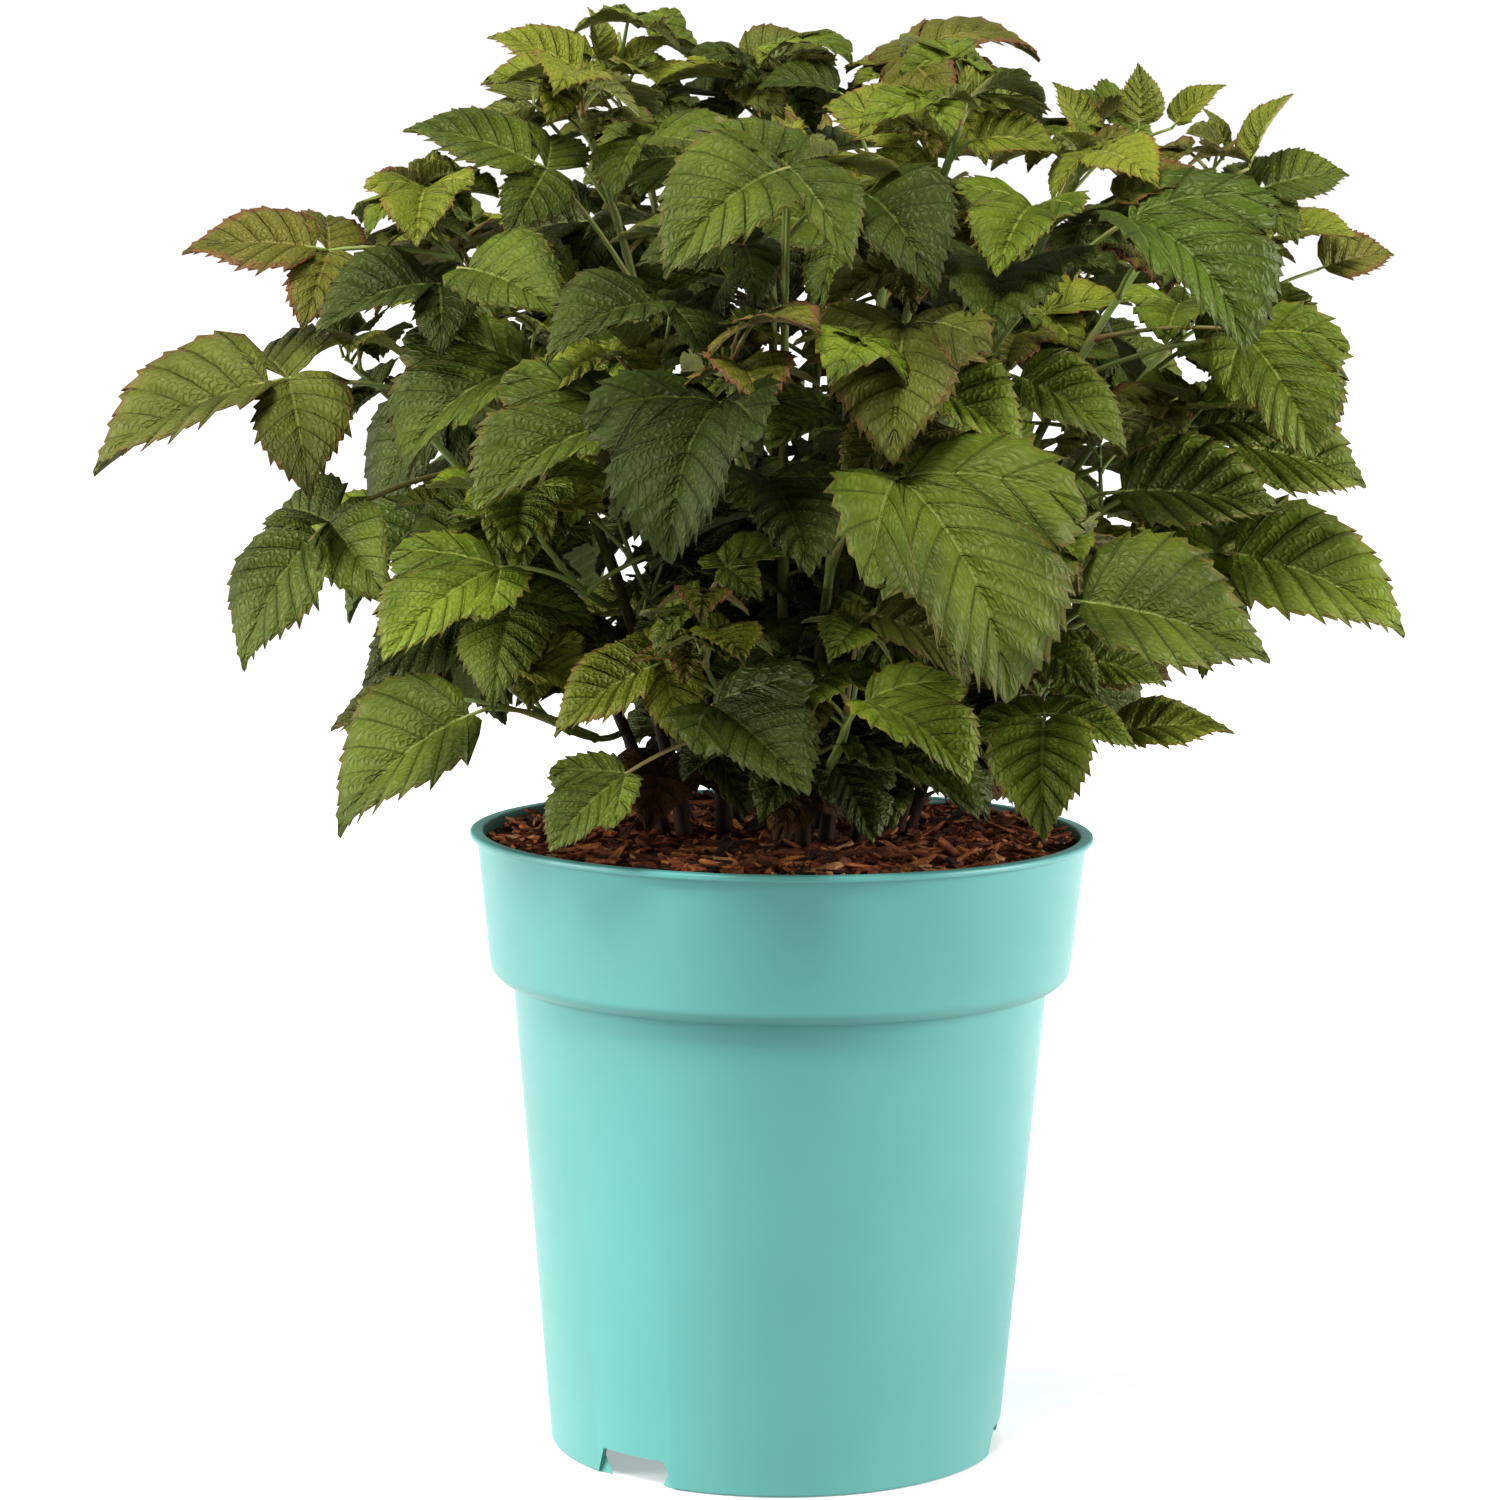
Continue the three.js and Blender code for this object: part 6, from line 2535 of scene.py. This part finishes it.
@dataclass
class Leafage:
    """The leaves and the sprigs, each dealt a tone and gathered by the side of the bush."""

    foliage: Foliage = field(default_factory=Foliage)
    first_heading: float = -20.0
    young_from: float = 0.99
    upper_from: float = 0.6
    shut_rate: float = 0.16
    most_shut: float = 0.75
    dry_below: float = 258.0
    dry_share: float = 0.6
    deep_share: float = 0.8

    # Leaves whose tone stands out, by shoot and number, and leaves given a tone as painted light or
    # shade, which the comments below name. The others are dealt out.
    marked: ClassVar[dict[Tone, tuple[tuple[str, int], ...]]] = {
        Tone.MID: (
            ("left_high", 3), ("top_left", 1), ("left_outer", 1), ("centre_left", 0),
            ("centre_left", 1), ("centre_front", 0), ("front_top", 1), ("right_front_high", 0),
            ("right_high", 3), ("bottom_centre", 0), ("right_front", 0), ("right_mid", 0),
            ("bottom_left", 0), ("right_bottom", 2)),
        # ("centre", 0) is given SHADED as painted shade.
        Tone.SHADED: (("centre", 0),),
        Tone.DEEP: (
            ("left_high", 2), ("centre_left", 2), ("bottom_centre", 1),
            ("left_outer", 2), ("top_right", 2), ("right_high", 1), ("front_top", 0),
            ("front_high", 2)),
        Tone.FRESH: (
            ("front_high", 1), ("right_high", 0), ("right_outer", 0), ("bottom_right", 0),
            # ("right_bottom", 0) is FRESH, lighter than its own tone, as painted light for a leaf
            # that stands in shade.
            ("right_low", 0), ("left_front", 0), ("right_bottom", 0)),
        Tone.YOUNG: (
            ("top_left_back", 3), ("top_left_back", 4), ("top_left_back", 5), ("front_high", 4),
            ("front_high", 5), ("right_ridge", 2), ("right_ridge", 3), ("right_ridge", 4),
            ("right_high", 4), ("right_high", 5), ("right_bottom", 1)),
        Tone.BRONZE: (
            ("left_high", 5), ("right_high", 2), ("top_right", 4), ("right_front_high", 4),
            ("right_outer", 3)),
        Tone.DULL: (
            ("front_high", 0), ("bottom_left", 1), ("bottom_right", 1), ("left_high", 0),
            ("top_mid", 4), ("top_left", 3)),
        Tone.GLOSSY: (("right_front_high", 1),),
    }

    # The tones that others are dealt.
    young: ClassVar[Deal] = ((0.45, Tone.YOUNG), (0.85, Tone.FRESH), (1.0, Tone.BRONZE))
    upper: ClassVar[Deal] = ((0.26, Tone.FRESH), (0.54, Tone.MID), (0.66, Tone.DEEP),
                             (0.8, Tone.DULL), (0.87, Tone.BRONZE), (1.0, Tone.YOUNG))
    lower: ClassVar[Deal] = ((0.34, Tone.DEEP), (0.72, Tone.MID), (0.84, Tone.GLOSSY),
                             (0.93, Tone.DULL), (1.0, Tone.FRESH))
    sides: ClassVar[tuple[str, ...]] = (
        "right", "back_right", "back_left", "left", "front_left", "front_right")

    def tone_of(self, shoot: Shoot, leaf: Leaf) -> Tone:
        """The tone that a leaf is dealt.

        Args:
            shoot: the shoot that bears it.
            leaf: the leaf.

        Returns:
            Its tone.
        """
        index = leaf.keys[1]
        for tone, places in self.marked.items():
            if (shoot.plan.name, index) in places:
                return tone
        draw = chance(*leaf.keys, Draw.TONE)
        if index >= FootLeaves.first_key:
            if leaf.hub[2] < self.dry_below and draw < self.dry_share:
                return Tone.DRY
            return Tone.DEEP if draw < self.deep_share else Tone.MID
        if leaf.age >= self.young_from:
            tones = self.young
        else:
            tones = self.upper if leaf.age > self.upper_from else self.lower
        return next(tone for limit, tone in tones if draw <= limit)

    def region(self, shoot: Shoot) -> str:
        """The side of the bush that a shoot's foliage is gathered with."""
        round_to = (shoot.outward - self.first_heading) % 360
        return self.sides[int(round_to // (360 / len(self.sides)))]

    def dress(self, bush: Bush) -> None:
        """Makes the leaves and the sprigs and hands them over.

        Args:
            bush: the bush as it has grown.
        """
        finishes = [make() for tone in Tone for make in (tone.value.upper, tone.value.lower)]
        nodes: dict[str, list[str]] = {}
        for shoot in bush.shoots:
            nodes.setdefault(self.region(shoot), []).append(f"leaves_{shoot.plan.name}")
        for kind, group in (("foliage", bush.leaves), ("sprigs", bush.sprigs)):
            skins = {region: Skin() for region in nodes}
            for shoot, leaf in group:
                tone, skin = self.tone_of(shoot, leaf), skins[self.region(shoot)]
                shut = min(self.most_shut, self.shut_rate * max(0.0, leaf.age - self.upper_from))
                small = kind == "sprigs" or leaf.keys[1] >= FootLeaves.first_key
                for which, blade in enumerate(leaf.blades):
                    self.foliage.lay(blade, tone, (*leaf.keys, which), skin, small, shut)
            for region, skin in skins.items():
                replaced = nodes[region] if kind == "foliage" else ()
                hand_over(skin.build(f"{kind}_{region}", finishes), "leaf", replaced)


# ---------- The studio ----------


@dataclass
class Studio:
    """A pale floor, soft lamps and the camera."""

    eye: Triple = (-0.012, -1.589, 0.455)
    pitch: float = 7.05
    roll: float = 0.6
    lens: float = 104.2
    sensor: float = 36.0
    clip: Pair = (0.05, 60.0)
    fill: float = 0.3
    white: float = 1.0
    floor_half: float = 30000.0
    floor_drop: float = 0.3
    side_lamp: Triple = (2.0, -0.3, 0.7)
    side_size: float = 1.2
    side_power: float = 41.0
    back_lamp: Triple = (0.5, 2.2, 1.1)
    back_size: float = 1.4
    back_power: float = 24.0
    sky: Triple = (-0.4, -0.9, 2.0)
    sky_spread: float = 24.0
    sky_strength: float = 3.3
    aim: Triple = (0.0, 0.0, 0.3)

    def camera(self) -> None:
        """Sets up the camera."""
        data = bpy.data.cameras.new("camera")
        data.lens, data.sensor_width, data.sensor_fit = self.lens, self.sensor, "AUTO"
        data.clip_start, data.clip_end = self.clip
        data.dof.use_dof = False
        camera = bpy.data.objects.new("camera", data)
        tilt = Matrix.Rotation(rad(90 - self.pitch), 4, "X")
        spin = Matrix.Rotation(rad(self.roll), 4, "Z")
        camera.matrix_world = Matrix.Translation(self.eye) @ (tilt @ spin)
        bpy.context.scene.collection.objects.link(camera)
        bpy.context.scene.camera = camera

    def lamp(self, name: str, place: Triple, size: float, power: float) -> Object:
        """Hangs a soft lamp that faces the bush.

        Args:
            name: its name.
            place: where it hangs.
            size: how wide it is.
            power: its power in watts.

        Returns:
            The lamp.
        """
        data = bpy.data.lights.new(name, "AREA")
        data.shape, data.size, data.energy = "DISK", size, power
        return self.hang(data, place)

    def sky_light(self) -> None:
        """Shines one broad soft light on bush and floor alike."""
        data = bpy.data.lights.new("overhead", "SUN")
        data.angle, data.energy = rad(self.sky_spread), self.sky_strength
        self.hang(data, self.sky)

    def hang(self, data: Light, place: Triple) -> Object:
        """Puts a light at a place and turns it to the bush.

        Args:
            data: the light.
            place: the place.

        Returns:
            The lamp.
        """
        lamp = bpy.data.objects.new(data.name, data)
        aim = (Vector(self.aim) - Vector(place)).to_track_quat("-Z", "Y")
        lamp.matrix_world = Matrix.Translation(place) @ aim.to_matrix().to_4x4()
        bpy.context.scene.collection.objects.link(lamp)
        return lamp

    def floor(self) -> None:
        """Lays the floor."""
        corners = [(-1, -1, 0), (1, -1, 0), (1, 1, 0), (-1, 1, 0)]
        points = np.array(corners) * self.floor_half - UP * self.floor_drop
        finish = StudioWhite().material()
        floor = one_body("studio_floor", points, np.array([(0, 1, 2), (0, 2, 3)]), finish)
        floor.visible_diffuse = False

    def surround(self) -> None:
        """Lights the scene from all round by less than the white that the lens sees."""
        world = bpy.data.worlds.new("studio")
        world.use_nodes = True
        nodes = Nodes(world.node_tree)
        seen = nodes.add("ShaderNodeLightPath").outputs["Is Camera Ray"]
        strength = nodes.add("ShaderNodeMapRange", None,
                             {"Value": seen, "To Min": self.fill, "To Max": self.white})
        background = world.node_tree.nodes["Background"]
        nodes.feed(background, "Color", (1.0, 1.0, 1.0, 1.0))
        nodes.feed(background, "Strength", strength.outputs["Result"])
        bpy.context.scene.world = world

    def set_up(self) -> None:
        """Builds the studio."""
        self.camera()
        self.floor()
        self.surround()
        x, y, z = self.side_lamp
        self.lamp("left", (-x, y, z), self.side_size, self.side_power)
        self.lamp("right", (x, y, z), self.side_size, self.side_power)
        back = self.lamp("back", self.back_lamp, self.back_size, self.back_power)
        back.visible_glossy = False
        self.sky_light()
        bpy.context.scene.view_settings.view_transform = "Standard"


def main() -> None:
    """Builds the studio and the bush."""
    logging.basicConfig(level=logging.INFO, format="%(name)s %(message)s")
    Studio().set_up()
    Pot().dress()
    Mulch().dress()
    Bush().dress()


if __name__ == "__main__":
    main()
